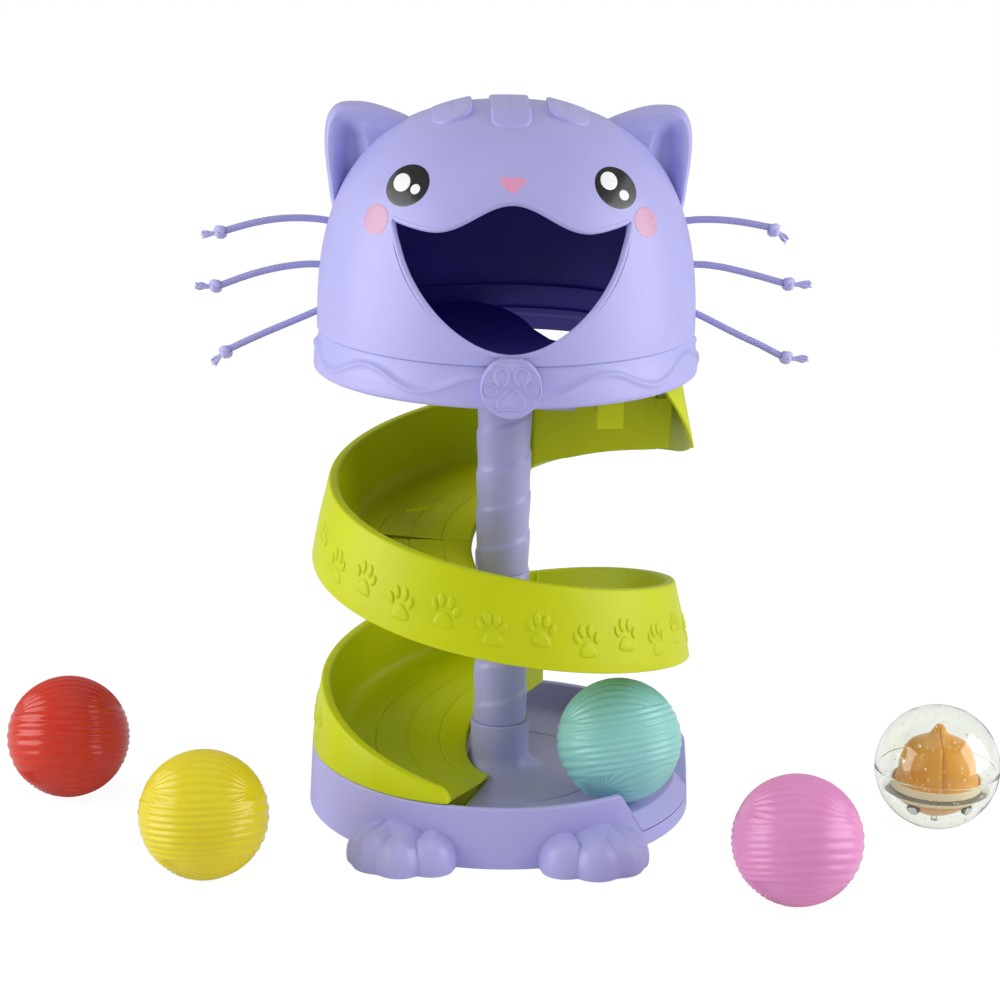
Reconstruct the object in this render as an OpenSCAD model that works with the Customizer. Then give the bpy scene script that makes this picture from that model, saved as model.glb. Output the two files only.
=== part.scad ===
// Ball drop tower with a cat head, a two turn spiral ramp, a tray base and five play balls.
// Millimetres. The post stands on the Z axis, the floor is z = 0 and the face looks along -Y.

/* [Balls] */
// Diameter of a play ball
ball_d = 70; // [66:0.5:73]
// Wall of a yarn ball
ball_wall = 2.4; // [1.6:0.1:4]
// Room beside a ball in the ramp's channel
ball_play = 4.5; // [3:0.5:8]
// How far a set-aside ball stands from the tower's axis, left and right
ball_far = 246; // [235:1:300]
// How far a ball of the front pair stands to the side
ball_near = 156; // [150:1:190]

/* [Post] */
// Outer diameter of the scratching post
post_d = 30.8; // [28:0.2:32]
// Wall of the post tubes
post_wall = 3; // [2.4:0.1:4]
// Gap between the post and the ramp's floor
post_gap = 2.1; // [1.5:0.1:3]
// Height of the joint between the two post tubes above the floor
post_joint_z = 136; // [120:1:150]
// Length of a spigot inside the next tube
spigot_len = 18; // [12:1:24]
// Radial clearance of a spigot or a peg
spigot_clear = 0.1; // [0.05:0.01:0.2]

/* [Base] */
// Height of the base's rim
base_h = 34; // [32:0.5:38]
// How much wider the base is at the floor than at its rim
base_flare = 1.5; // [0.5:0.1:3]
// Height of the tray's floor
tray_z = 18; // [16:0.5:19]
// Width of the base's rim
rim_ledge = 4.5; // [4:0.1:5]
// Wall of the base's shell
base_wall = 3; // [2.4:0.1:3.4]
// Height of the hub that carries the post
hub_h = 47; // [40:1:55]
// Diameter of the hub at its joint with the post
hub_d = 33.2; // [32.6:0.1:34]
// Fillet where the hub meets the tray
hub_fillet = 5; // [3:0.5:6]
// Direction of the ball exit, seen from above
exit_angle = -24; // [-34:1:-16]
// Width of the exit at its sill
exit_low_w = 66; // [60:1:72]
// Width of the exit at the rim
exit_high_w = 101; // [90:1:110]
// How far the exit's sill falls from the tray to the outside
sill_drop = 10; // [4:0.5:12]

/* [Paws] */
// Radius of a toe
toe_r = 10; // [9.5:0.1:10.5]
// Height of a toe's middle above the floor
toe_mid_z = 7; // [5:0.5:9]
// Radius of a paw's round back
paw_r = 26; // [24:0.5:27]
// How far the middle of a paw's back lies below the floor
paw_sink = 5; // [3:0.5:8]

/* [Ramp] */
// Fall of the ramp over one turn
ramp_pitch = 116; // [112:1:126]
// How far the ramp's lower edge dips behind the base's rim at the left
ramp_sink = 4.5; // [3:0.5:6]
// Height of the ramp's outer skirt with its rim
skirt_h = 44.5; // [40:0.5:48]
// How much wider the skirt is at its lower edge than at its rim
skirt_flare = 9.5; // [6:0.5:12]
// Width of the rolled rim
rim_w = 5.5; // [5.2:0.1:7]
// Height of the channel's floor above the skirt's lower edge
floor_lift = 6; // [5:0.5:8]
// Wall of the ramp mouldings
ramp_wall = 2.4; // [1.8:0.1:2.6]
// Fillet between the channel's floor and its outer wall
channel_fillet = 14; // [8:0.5:15]
// Height of the channel's wall at the ramp's end
end_wall_h = 20; // [18:0.5:24]
// How far the rim spreads towards the base over the last turn
rim_spread = 6.7; // [4:0.1:7]
// Height of the start tray's front wall above its floor
front_wall_h = 30; // [24:1:34]
// Distance of the start tray's front wall behind the post's axis
front_wall_y = 8; // [6:0.5:11]

/* [Ramp brackets] */
// Reach of the lower bracket from the post's axis
bracket_reach = 60; // [48:1:66]
// Reach of the upper bracket, which stays behind the post
upper_bracket_reach = 36; // [32:1:40]
// Height of a bracket
bracket_h = 12; // [8:1:16]
// Width of the block that hangs the start tray on the head
hanger_w = 14; // [10:1:18]
// Depth of the hanging block
hanger_t = 12; // [9:1:15]

/* [Head] */
// Radius of the dome at its foot
dome_r = 103.7; // [101:0.1:107]
// Height of the dome
dome_h = 123.3; // [115:0.1:130]
// Wall of the dome
dome_wall = 3.2; // [2.6:0.1:3.6]
// Turn of the head on its post, in degrees
head_yaw = 1.6; // [-6:0.1:6]
// Gap between the ramp's rim and the collar
head_gap = 5.5; // [4:0.5:10]
// Height of the collar under the dome
collar_h = 22; // [20:0.5:26]
// How far the collar stands out past the dome's foot
collar_bulge = 3.2; // [2:0.1:5]
// Wall of the collar
collar_wall = 3; // [2.4:0.1:3.6]
// Thickness of the head's floor
floor_t = 3; // [2.4:0.1:3.4]
// Height of the ring that centres the dome on the collar
lap_h = 5; // [3:0.5:6]

/* [Mouth] */
// Width of the mouth
mouth_w = 124; // [110:1:130]
// Height of the mouth's corners above the dome's foot
mouth_corner_z = 69; // [64:1:74]
// Height of the mouth's lowest point above the dome's foot
mouth_low_z = 5.6; // [4:0.2:12]
// Height of the upper lip's middle above the corners
lip_peak = 13; // [8:0.5:18]
// Height of the upper lip's lowest points below the corners
lip_dip = 1.6; // [0:0.2:4]
// Distance of the upper lip's lowest points from the middle
lip_dip_x = 41; // [34:1:46]

/* [Ears and stripes] */
// How far an ear's outer edge lies inside the dome's foot circle
ear_inset = 3.7; // [0:0.1:8]
// How far an ear's tip lies below the dome's top
ear_drop = 2.3; // [1:0.1:12]
// Thickness of an ear from front to back
ear_t = 26; // [18:1:34]
// Depth of the hollow in an ear's front
ear_hollow = 17; // [10:1:20]
// Width of a brow stripe
stripe_w = 21.4; // [14:0.2:24]
// How far a brow stripe stands above the dome
stripe_h = 2; // [1:0.1:3]

/* [Face prints] */
// Thickness of a printed face mark with its sheen
print_t = 0.3; // [0.2:0.05:0.6]
// Length of an eye
eye_l = 25; // [20:0.5:28]
// Width of an eye
eye_w = 17; // [13:0.5:19]
// Distance of an eye from the face's middle
eye_x = 53.8; // [50:0.2:57]
// Height of an eye above the dome's foot
eye_z = 86.9; // [84:0.2:90]
// Width of the nose
nose_w = 13; // [10:0.5:16]
// Height of the nose above the dome's foot
nose_z = 90.5; // [88:0.5:94]
// Length of a cheek mark
cheek_l = 16.2; // [12:0.2:18]
// Width of a cheek mark
cheek_w = 11.5; // [9:0.2:13]

/* [Medallion] */
// Radius of the paw medallion
medal_r = 15.8; // [13:0.1:17]
// How far the medallion's face stands out from the collar
medal_out = 4.4; // [3:0.1:6]
// Diameter of the peg behind the medallion
medal_peg_d = 6; // [5:0.5:8]

/* [Whiskers] */
// Diameter of the braided whisker cord
cord_d = 4; // [3.6:0.1:4.2]
// Radial clearance of a cord in the dome's wall
cord_clear = 0.3; // [0.2:0.05:0.6]

/* [Clear ball] */
// Wall of the clear ball
clear_wall = 2.2; // [1.6:0.1:3]
// Height of the band round the fish
band_h = 8.5; // [5:0.5:10]
// Thickness of the band and of the flange that holds it in the ball
band_t = 1.4; // [1:0.1:2]
// Room between the fish's widest place and the clear ball's inner radius
fish_room = 8.8; // [7:0.2:12]
// Room between the fish's tip and the clear ball's inner radius
fish_tip_room = 7.8; // [6:0.2:12]

/* [Screws] */
// Shank diameter of a screw
screw_d = 3; // [2.5:0.1:3.4]
// Head diameter of a screw
screw_head_d = 5.6; // [5:0.1:6]
// Head height of a screw
screw_head_h = 2; // [1.6:0.1:2.4]
// Radial clearance of a screw
screw_clear = 0.1; // [0.05:0.01:0.2]

/* [Hidden] */
$fn = 96;
hole_facets = 32;

// Overrun of a cut past the surface that it opens
over = 2;
// Gap between pieces that rest on each other
seat = 0.3;
// Size of a small chamfer or rounding
soft_edge = 1;

lavender = [0.706, 0.706, 0.902];
lime = [0.804, 0.847, 0.149];

// Post and hub
post_r = post_d / 2;
post_bore_r = post_r - post_wall;
hub_r = hub_d / 2;
spigot_r = post_bore_r - spigot_clear;
spigot_bore_r = spigot_r - post_wall;
hub_bore_r = hub_r - post_wall - base_wall;
hub_web_z = tray_z - base_wall;
hub_web_low = hub_h - spigot_len - seat - base_wall;

// Ramp, measured as an angle that grows down the spiral from the right-hand side
start_angle = 5.5;
start_angles = [start_angle, 6.3, 8, 11, 15, 19, 24, 29];
angle_step = 6;
seam_back_angle = 77;
seam_left_angle = 177;
full_turn = 360;
quarter = full_turn / 4;
seam_low_angle = seam_back_angle + full_turn;
rim_angle = 540;
end_angle = 615;
swing_angle = 500;
fin_angle = -30;
fin_cut_angle = -4;
fin_root_angle = 5.9;
fin_steps = 12;
fin_tip_h = 1.7;
lip_lift_angle = 14;
start_lip_lift = 3.2;
skirt_lift_angle = 20;
start_skirt_lift = 5;
lip_r = post_r + post_gap;
rim_r = lip_r + ball_d + ball_play + rim_w;
skirt_r = rim_r + skirt_flare;
hub_swing = 4.5;
wall_lean = 1.5;
end_step = 0.4;
wall_power = 1.5;
end_floor_z = tray_z + seat + ramp_wall + end_step;
end_lift = end_floor_z - (base_h - ramp_sink - ramp_pitch * (end_angle - rim_angle) / full_turn + floor_lift);

// Base
base_rim_r = skirt_r;
base_r = base_rim_r + base_flare;
tray_r = base_rim_r - rim_ledge;
tray_foot_r = tray_r - soft_edge;
exit_cut_r = tray_foot_r - soft_edge;

// Head
collar_z = skirt_line(0) + skirt_h + head_gap;
seam_z = collar_z + collar_h;
head_floor_z = seam_z - lap_h;
flange_t = 4;
flange_r = 22;
flange_z = head_floor_z - floor_t - flange_t;
floor_r = dome_r - dome_wall - collar_wall;
dome_power = 2.56;
dome_steps = 26;
front_reach = dome_r + collar_bulge + over;

// Whisker cords leave the dome a little behind its side
whisker_y = 6;

function skirt_line(a) = base_h - ramp_sink + ramp_pitch * (rim_angle - a) / full_turn;
function clamp01(v) = min(1, max(0, v));
function smooth(v) = let (t = clamp01(v)) t * t * (3 - 2 * t);
function landing(a) = clamp01((a - rim_angle) / (end_angle - rim_angle));
function floor_z(a) = skirt_line(a) + floor_lift + end_lift * pow(landing(a), 2);
function wall_h(a) = skirt_h - floor_lift - (skirt_h - floor_lift - end_wall_h) * pow(landing(a), wall_power);
function rim_z(a) = floor_z(a) + wall_h(a);
function rim_radius(a) = rim_r + rim_spread * smooth((a - seam_low_angle) / (end_angle - seam_low_angle));
function inner_radius(a) = lip_r + hub_swing * smooth((a - swing_angle) / (end_angle - swing_angle));
function lip_lift(a) = start_lip_lift * smooth((lip_lift_angle - a) / (lip_lift_angle - start_angle));
function skirt_lift(a) = start_skirt_lift * smooth((skirt_lift_angle - a) / skirt_lift_angle);
function skirt_z(a) = max(skirt_line(a) + skirt_lift(a), base_h + seat);
function lip_z(a) = max(floor_z(a) - floor_lift + lip_lift(a), tray_z + seat);
function skirt_radius(a) =
    min(skirt_r, rim_radius(a) + skirt_flare * (rim_z(a) - skirt_z(a)) / skirt_h);
function rim_cavity(a) = min(rim_w, max(ramp_wall + soft_edge, (rim_z(a) - skirt_z(a)) / 2));

function arc(cx, cy, r, a0, a1, n) =
    [for (i = [0 : n]) let (t = a0 + (a1 - a0) * i / n) [cx + r * cos(t), cy + r * sin(t)]];

// The outer side of the channel: fillet, inner wall, rolled rim, skirt and the hollow behind
function channel_side(a, zf, fillet) =
    let (
        rr = rim_radius(a), rw = rr - rim_w, rc = rw - wall_lean - fillet,
        top = rim_z(a) - rim_w / 2, ro = skirt_radius(a), zo = skirt_z(a),
        zc = rim_z(a) - rim_cavity(a)
    )
    concat(
        arc(rc, zf + fillet, fillet, -90, 0, 4),
        arc(rw + rim_w / 2, top, rim_w / 2, 180, 0, 4),
        [[(rr + ro) / 2 + soft_edge / 2, (top + zo) / 2], [ro, zo], [ro - ramp_wall, zo]],
        [[rr - ramp_wall, zc], [rw + ramp_wall, zc]]
    );

function channel_under(a, fillet) =
    let (zf = floor_z(a), rc = rim_radius(a) - rim_w - wall_lean - fillet)
    arc(rc, zf + fillet, fillet + ramp_wall, 0, -90, 4);

function open_section(a) =
    let (ri = inner_radius(a), zf = floor_z(a))
    concat(
        [[ri, lip_z(a)], [ri, zf - soft_edge], [ri + soft_edge, zf]],
        channel_side(a, zf, channel_fillet),
        channel_under(a, channel_fillet),
        [[ri + ramp_wall, zf - ramp_wall], [ri + ramp_wall, lip_z(a)]]
    );

// The start tray has a wall along its front, and its first ring is filled to close the end
function start_section(a, filled) =
    let (
        ri = max(lip_r, front_wall_y / sin(a)), zf = floor_z(a), zt = zf + front_wall_h,
        room = (rim_radius(a) - rim_w - wall_lean - ri - ramp_wall) / 2 - soft_edge / 4,
        outer = filled ? soft_edge / 4 : min(channel_fillet, room),
        inner = filled ? soft_edge / 4 : min(channel_fillet / 2, room),
        zs = filled ? zt - 3 * soft_edge : zf
    )
    concat(
        [[ri, lip_z(a)], [ri, zt - soft_edge], [ri + soft_edge, zt], [ri + ramp_wall, zt - soft_edge]],
        arc(ri + ramp_wall + inner, zs + inner, inner, 180, 270, 2),
        channel_side(a, zs, outer),
        channel_under(a, min(channel_fillet, room)),
        [[ri + ramp_wall, zf - ramp_wall], [ri + ramp_wall, lip_z(a)]]
    );

// The outer wall alone runs on past the start tray; its lower edge rises until it meets its top
function fin_low(a) =
    let (low = skirt_z(fin_cut_angle) + seat, tip = rim_z(fin_angle) - rim_w / 2 - fin_tip_h)
    a > fin_cut_angle
    ? skirt_z(a) + seat
    : low + (tip - low) * (fin_cut_angle - a) / (fin_cut_angle - fin_angle);
function fin_r(a, z) = skirt_r - seat - skirt_flare * (z - skirt_line(a)) / skirt_h;
function fin_section(a) =
    let (low = fin_low(a), top = rim_z(a) - rim_w / 2, t = ramp_wall - 2 * seat)
    [[fin_r(a, low) - t, low], [fin_r(a, top) - t, top], [fin_r(a, top), top], [fin_r(a, low), low]];

function turned(p, a) = [p[0] * cos(a), p[0] * sin(a), p[1]];

// Splits the two ends of a channel section into convex pieces; s is where its outer side begins
function rungs(s) = concat(
    [[s - 1, s + 20]],
    [for (i = [0 : 4]) [s + i, s + 19 - i]],
    [for (i = [5 : 7]) [s + i, s + 14]],
    [for (i = [7 : 10]) [s + i, s + 13]],
    [[s + 11, s + 12]]
);

function ladder(list) =
    [for (i = [0 : len(list) - 2]) let (a = list[i], b = list[i + 1])
        a[0] == b[0] ? [a[0], b[1], a[1]] : a[1] == b[1] ? [a[0], b[0], a[1]] : [a[0], b[0], b[1], a[1]]];

open_cap = concat([[0, 1, 23, 24], [1, 2, 23]], ladder(rungs(3)));
start_cap = concat([[0, 1, 3], [0, 3, 4], [0, 4, 27], [0, 27, 28], [1, 2, 3], [4, 5, 27], [5, 6, 27]],
    ladder(rungs(7)));
fin_cap = [[0, 1, 2, 3]];
bracket_cap = [[0, 1, 4, 5], [1, 2, 3, 4]];

// Sweeps sections round the post; each section is a closed outline of radius and height
module spiral_sweep(angles, sections, cap) {
    n = len(sections[0]);
    m = len(angles);
    points = [for (i = [0 : m - 1]) for (p = sections[i]) turned(p, angles[i])];
    sides = [for (i = [0 : m - 2]) for (j = [0 : n - 1])
        let (k = (j + 1) % n, a = i * n + j, b = i * n + k, c = a + n, d = b + n)
        each [[a, d, b], [a, c, d]]];
    last = [for (piece = cap) [for (j = [len(piece) - 1 : -1 : 0]) (m - 1) * n + piece[j]]];
    polyhedron(points, concat(sides, cap, last), convexity = 10);
}

function angle_list(a0, a1) =
    let (n = ceil((a1 - a0) / angle_step)) [for (i = [0 : n]) a0 + (a1 - a0) * i / n];

module ramp_part(a0, a1) {
    angles = angle_list(a0, a1);
    color(lime) spiral_sweep(angles, [for (a = angles) open_section(a)], open_cap);
}

// Outline of the head: the dome as a flattened egg and the collar below it
function dome_outline(r, h) =
    [for (i = [0 : dome_steps]) let (t = quarter * i / dome_steps)
        [r * pow(cos(t), 2 / dome_power), seam_z + h * pow(sin(t), 2 / dome_power)]];

module dome_solid(grow) {
    rotate_extrude()
        polygon(concat([[0, seam_z]],
            [for (p = dome_outline(dome_r + grow, dome_h + grow)) [max(0, p[0]), p[1]]]));
}

collar_out_r = dome_r + collar_bulge;
collar_outline_shares = [[0.985, 0], [0.998, 0.05], [1, 0.16], [0.997, 0.4], [0.987, 0.72], [0.972, 1]];

module head_envelope() {
    rotate_extrude() polygon(concat([[0, collar_z]],
        [for (p = collar_outline_shares) [collar_out_r * p[0], collar_z + collar_h * p[1]]],
        [[0, seam_z]]));
    dome_solid(0);
}

// Places what is modelled flat in the face plane at the front of the head
module on_face(depth) {
    rotate([90, 0, 0]) linear_extrude(depth) children();
}

module head_frame() {
    rotate([0, 0, head_yaw]) children();
}

module base_shell() {
    rotate_extrude() polygon(concat(
        [[hub_bore_r, 0], [hub_bore_r + base_wall, 0], [hub_r, hub_web_z - base_wall]],
        [[hub_r + hub_fillet, hub_web_z]],
        [[tray_foot_r - base_wall, hub_web_z], [base_r - base_wall, hub_web_z / 2]],
        [[base_r - base_wall, 0], [base_r - soft_edge, 0], [base_r, soft_edge]],
        [[base_rim_r, base_h - soft_edge], [base_rim_r - soft_edge, base_h]],
        [[tray_r + soft_edge, base_h], [tray_r, base_h - soft_edge], [tray_foot_r, tray_z + soft_edge]],
        [[tray_foot_r - soft_edge, tray_z]],
        arc(hub_r + hub_fillet, tray_z + hub_fillet, hub_fillet, 270, 180, 6),
        [[hub_r, hub_h], [spigot_r + spigot_clear, hub_h]],
        [[spigot_r + spigot_clear, hub_h - spigot_len - seat]],
        [[hub_bore_r, hub_h - spigot_len - seat]]
    ));
}

module hub_web() {
    translate([0, 0, hub_web_low]) cylinder(r = hub_bore_r + soft_edge, h = base_wall);
}

// The exit is a gate through the wall that is wider at the rim, above a sloping sill
module exit_gate() {
    intersection() {
        rotate([0, 0, exit_angle]) rotate([90, 0, 90]) linear_extrude(base_r + over)
            polygon([[-exit_low_w / 2, tray_z - sill_drop], [exit_low_w / 2, tray_z - sill_drop],
                [exit_high_w / 2, base_h + over], [-exit_high_w / 2, base_h + over]]);
        rotate_extrude() polygon([[exit_cut_r, tray_z], [base_r + over, tray_z - sill_drop],
            [base_r + over, base_h + over], [exit_cut_r, base_h + over]]);
    }
}

// Places of a paw's toes and of its round back, as shares of the base's radius
toe_places = [[0.341, -1.023], [0.502, -1.049], [0.618, -0.991], [0.654, -0.908]];
paw_place = [0.484, -0.857];

// Two paws stick out at the front; they are cut off flat at the floor
module paws() {
    difference() {
        for (side = [-1, 1]) {
            for (p = toe_places)
                translate([side * base_r * p[0], base_r * p[1], toe_mid_z]) sphere(toe_r);
            translate([side * base_r * paw_place[0], base_r * paw_place[1], -paw_sink]) sphere(paw_r);
        }
        translate([0, 0, -over]) cylinder(r = base_r - base_wall, h = paw_r + over);
        translate([0, 0, -2 * paw_r]) cylinder(r = 2 * base_r, h = 2 * paw_r);
    }
}

module base_tray() {
    color(lavender) difference() {
        union() {
            base_shell();
            hub_web();
            paws();
        }
        exit_gate();
        translate([0, 0, -over]) cylinder(d = screw_d + 2 * screw_clear, h = hub_h);
    }
}

module screw(length) {
    color("silver") {
        translate([0, 0, -screw_head_h]) cylinder(d = screw_head_d, h = screw_head_h);
        cylinder(d = screw_d, h = length);
    }
}

base_screw_len = 3 * base_wall;

module base_screw() {
    translate([0, 0, hub_web_low]) screw(base_screw_len);
}

module lower_post() {
    color(lavender) difference() {
        union() {
            translate([0, 0, hub_h]) cylinder(r = post_r, h = post_joint_z - hub_h);
            translate([0, 0, hub_h - spigot_len]) cylinder(r = spigot_r, h = spigot_len);
        }
        translate([0, 0, hub_h - spigot_len + base_screw_len]) cylinder(r = spigot_bore_r, h = post_joint_z);
        translate([0, 0, post_joint_z - spigot_len - seat]) cylinder(r = post_bore_r, h = spigot_len + over);
        translate([0, 0, hub_h - spigot_len - over])
            cylinder(d = screw_d + 2 * screw_clear, h = base_screw_len + 2 * over);
    }
}

flange_screw_r = post_r + (flange_r - post_r) / 2;
flange_screw_angles = [70, 190, 310];

module flange_screw_places() {
    for (a = flange_screw_angles) rotate([0, 0, a]) translate([flange_screw_r, 0, 0]) children();
}

module upper_post() {
    top = head_floor_z - floor_t;
    color(lavender) difference() {
        union() {
            translate([0, 0, post_joint_z]) cylinder(r = post_r, h = top - post_joint_z);
            translate([0, 0, post_joint_z - spigot_len]) cylinder(r = spigot_r, h = spigot_len);
            translate([0, 0, flange_z]) cylinder(r = flange_r, h = flange_t);
        }
        translate([0, 0, post_joint_z - spigot_len - over]) cylinder(r = spigot_bore_r, h = top);
        translate([0, 0, flange_z - over]) flange_screw_places()
            cylinder(d = screw_d + 2 * screw_clear, h = flange_t + 2 * over);
    }
}

module post_flange_screws() {
    translate([0, 0, flange_z]) flange_screw_places() screw(flange_t + floor_t - soft_edge / 2);
}

module ramp_start() {
    last_angle = start_angles[len(start_angles) - 1];
    angles = concat(start_angles, angle_list(last_angle + angle_step, seam_back_angle));
    fin_angles = [for (i = [0 : fin_steps]) fin_angle + (fin_root_angle - fin_angle) * i / fin_steps];
    color(lime) {
        spiral_sweep(angles, [for (a = angles) start_section(a, a == start_angle)], start_cap);
        spiral_sweep(fin_angles, [for (a = fin_angles) fin_section(a)], fin_cap);
    }
}

module ramp_upper() {
    ramp_part(seam_back_angle, seam_left_angle);
}

module ramp_middle() {
    ramp_part(seam_left_angle, seam_low_angle);
}

module ramp_lower() {
    ramp_part(seam_low_angle, end_angle);
}

// A bracket is a wedge under a ramp seam; its top follows the spiral just under the floor
bracket_angle = 12;
bracket_angles = [-bracket_angle, -bracket_angle / 3, bracket_angle / 3, bracket_angle];
bracket_screw_inset = 12;
bracket_places = [[seam_back_angle, upper_bracket_reach], [seam_low_angle, bracket_reach]];

function bracket_low(seam) = floor_z(seam + bracket_angle) - ramp_wall - bracket_h;

function bracket_section(a, low, reach) =
    let (top = floor_z(a) - ramp_wall - seat, step_r = lip_r + ramp_wall + seat)
    [[post_r + seat / 2, low], [reach, low], [reach, top], [step_r, top],
        [step_r, lip_z(a) - seat], [post_r + seat / 2, lip_z(a) - seat]];

module ramp_bracket(place) {
    seam = place[0];
    reach = place[1];
    low = bracket_low(seam);
    color(lime) difference() {
        spiral_sweep([for (t = bracket_angles) seam + t],
            [for (t = bracket_angles) bracket_section(seam + t, low, reach)], bracket_cap);
        rotate([0, 0, seam]) translate([reach - bracket_screw_inset, 0, low - over])
            cylinder(d = screw_d + 2 * screw_clear, h = bracket_h + over, $fn = hole_facets);
    }
}

module ramp_bracket_upper() {
    ramp_bracket(bracket_places[0]);
}

module ramp_bracket_lower() {
    ramp_bracket(bracket_places[1]);
}

module ramp_screws() {
    for (place = bracket_places)
        rotate([0, 0, place[0]]) translate([place[1] - bracket_screw_inset, 0, bracket_low(place[0])])
            screw(bracket_h - soft_edge);
}

// The hanger comes down from the head's floor and runs back to the start tray's front wall
hanger_x = 56.5;
hanger_y = -38;

module ramp_hanger() {
    top = head_floor_z - floor_t;
    arm_top = floor_z(start_angle) + front_wall_h - soft_edge;
    color(lime) translate([hanger_x - hanger_w / 2, 0, 0]) difference() {
        union() {
            translate([0, hanger_y - hanger_t, arm_top - hanger_t / 2])
                cube([hanger_w, front_wall_y - hanger_y + hanger_t, hanger_t / 2]);
            translate([0, hanger_y - hanger_t, arm_top - hanger_t / 2])
                cube([hanger_w, hanger_t, top - arm_top + hanger_t / 2]);
        }
        translate([hanger_w / 2, hanger_y - hanger_t / 2, top - hanger_screw_len])
            cylinder(d = screw_d + 2 * screw_clear, h = hanger_screw_len + over);
    }
}

hanger_screw_len = 14;

module hanger_screw() {
    translate([hanger_x, hanger_y - hanger_t / 2, head_floor_z]) mirror([0, 0, 1]) screw(hanger_screw_len);
}

// A tab under the head's floor keeps the ball off the post's joint
tab_x = 22;
tab_w = 16.4;
tab_y = -21;
tab_t = 3;
tab_low_share = 0.86;

module guide_tab() {
    low = floor_z(start_angle) + tab_low_share * front_wall_h;
    color(lavender) translate([tab_x, tab_y, low]) cube([tab_w, tab_t, head_floor_z - floor_t - low]);
}

module collar() {
    ledge_z = head_floor_z - floor_t;
    lap_r = dome_r - dome_wall - spigot_clear;
    color(lavender) head_frame() difference() {
        rotate_extrude() polygon(concat(
            [for (p = collar_outline_shares) [collar_out_r * p[0], collar_z + collar_h * p[1]]],
            [[lap_r, seam_z], [lap_r, seam_z + lap_h]],
            [[floor_r + spigot_clear, seam_z + lap_h], [floor_r + spigot_clear, ledge_z]],
            [[floor_r - collar_wall, ledge_z], [floor_r - collar_wall, ledge_z - collar_wall]],
            [[collar_out_r * collar_outline_shares[1][0] - 2 * collar_wall, ledge_z - 2 * collar_wall]],
            [[collar_out_r * collar_outline_shares[0][0] - collar_wall, collar_z]]
        ));
        medal_peg(spigot_clear);
    }
}

// The floor covers the front and left of the head and leaves a drop hole at the back right
drop_edge_shares = [[-0.17, 1.2], [-0.17, 0.98], [-0.01, 0.78], [0.07, 0.58], [0.12, 0.39], [0.155, 0.2],
    [0.245, -0.08], [0.4, -0.27], [0.62, -0.38], [0.95, -0.4], [1.3, -0.4], [1.3, 1.2]];

module head_floor() {
    z = head_floor_z - floor_t;
    color([0.16, 0.145, 0.35]) difference() {
        translate([0, 0, z]) cylinder(r = floor_r, h = floor_t);
        translate([0, 0, z - over]) linear_extrude(floor_t + 2 * over)
            polygon([for (p = drop_edge_shares) floor_r * p]);
        translate([0, 0, z - over]) flange_screw_places()
            cylinder(d = screw_d + 2 * screw_clear, h = floor_t + 2 * over);
        translate([hanger_x, hanger_y - hanger_t / 2, z - over])
            cylinder(d = screw_d + 2 * screw_clear, h = floor_t + 2 * over);
    }
}

// Mouth outline, drawn above the dome's foot
mouth_power = 1.85;
mouth_steps = 10;
lip_flare = 0.1;
lip_power = 1.6;
lip_end_share = 0.98;

function lip_height(x) =
    let (aside = abs(x) - lip_dip_x, room = mouth_w / 2 - lip_dip_x)
    aside < 0
    ? mouth_corner_z - lip_dip + (lip_peak + lip_dip) * (1 + cos(2 * quarter * x / lip_dip_x)) / 2
    : mouth_corner_z - lip_dip
        + (lip_dip + lip_flare * room) * pow(aside / room, lip_power);

module mouth_outline() {
    half = mouth_w / 2;
    drop = mouth_corner_z - mouth_low_z;
    polygon(concat(
        [for (i = [-mouth_steps : mouth_steps]) let (t = quarter * i / mouth_steps)
            [half * sign(i) * pow(abs(sin(t)), 2 / mouth_power),
                mouth_corner_z - drop * pow(cos(t), 2 / mouth_power)]],
        [for (i = [mouth_steps - 1 : -1 : 1 - mouth_steps])
            let (x = lip_end_share * half * i / (mouth_steps - 1)) [x, lip_height(x)]]
    ));
}

// Brow stripes: three bars over the crown with round front ends
stripe_front = 51.2;
stripe_back = 34;
side_stripe_x = 31;
side_stripe_front = 36.7;
side_stripe_back = 22;

module stripe_plan(front, back) {
    r = stripe_w / 2;
    polygon(concat(
        arc(0, -front + r, r, 180, 360, 16),
        arc(r - r / 2, back - r / 2, r / 2, 0, 90, 6),
        arc(-r + r / 2, back - r / 2, r / 2, 90, 180, 6)
    ));
}

module stripe_plans() {
    stripe_plan(stripe_front, stripe_back);
    for (side = [-1, 1]) translate([side * side_stripe_x, 0])
        stripe_plan(side_stripe_front, side_stripe_back);
}

module brow_stripes() {
    intersection() {
        dome_solid(stripe_h);
        translate([0, 0, seam_z + dome_h / 2]) linear_extrude(dome_h) stripe_plans();
    }
}

// Middle line of each whisker: how far outside the dome's foot circle, and how high above it
whisker_left_top_path = [[-15.7, 55.5], [-14.7, 55.5], [-11.2, 56], [-9.7, 56], [0.3, 57.5],
    [12.3, 57.9], [24.3, 56.9], [36.3, 54.5], [48.3, 51], [49.8, 50.5], [55.8, 49], [57.3, 48.9],
    [63.3, 48.1]];
whisker_left_middle_path = [[-10.7, 32], [-9.7, 32], [-6.7, 32.3], [-5.2, 32.3], [5.3, 32.5],
    [17.3, 31.1], [29.3, 28.5], [40.3, 25.1], [51.3, 20.9], [52.8, 20.5], [58.8, 19.3], [60.3, 19.3],
    [67.3, 20.1]];
whisker_left_bottom_path = [[-9.7, 10.1], [-8.7, 9.8], [-5.5, 9], [-3.9, 8.6], [6.3, 3.9], [17.3, -0.9],
    [28.3, -5.7], [38.3, -10.3], [46.8, -14.5], [48.3, -15.3], [53.1, -18.5], [54.3, -19.5],
    [58.3, -23.9]];
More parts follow.
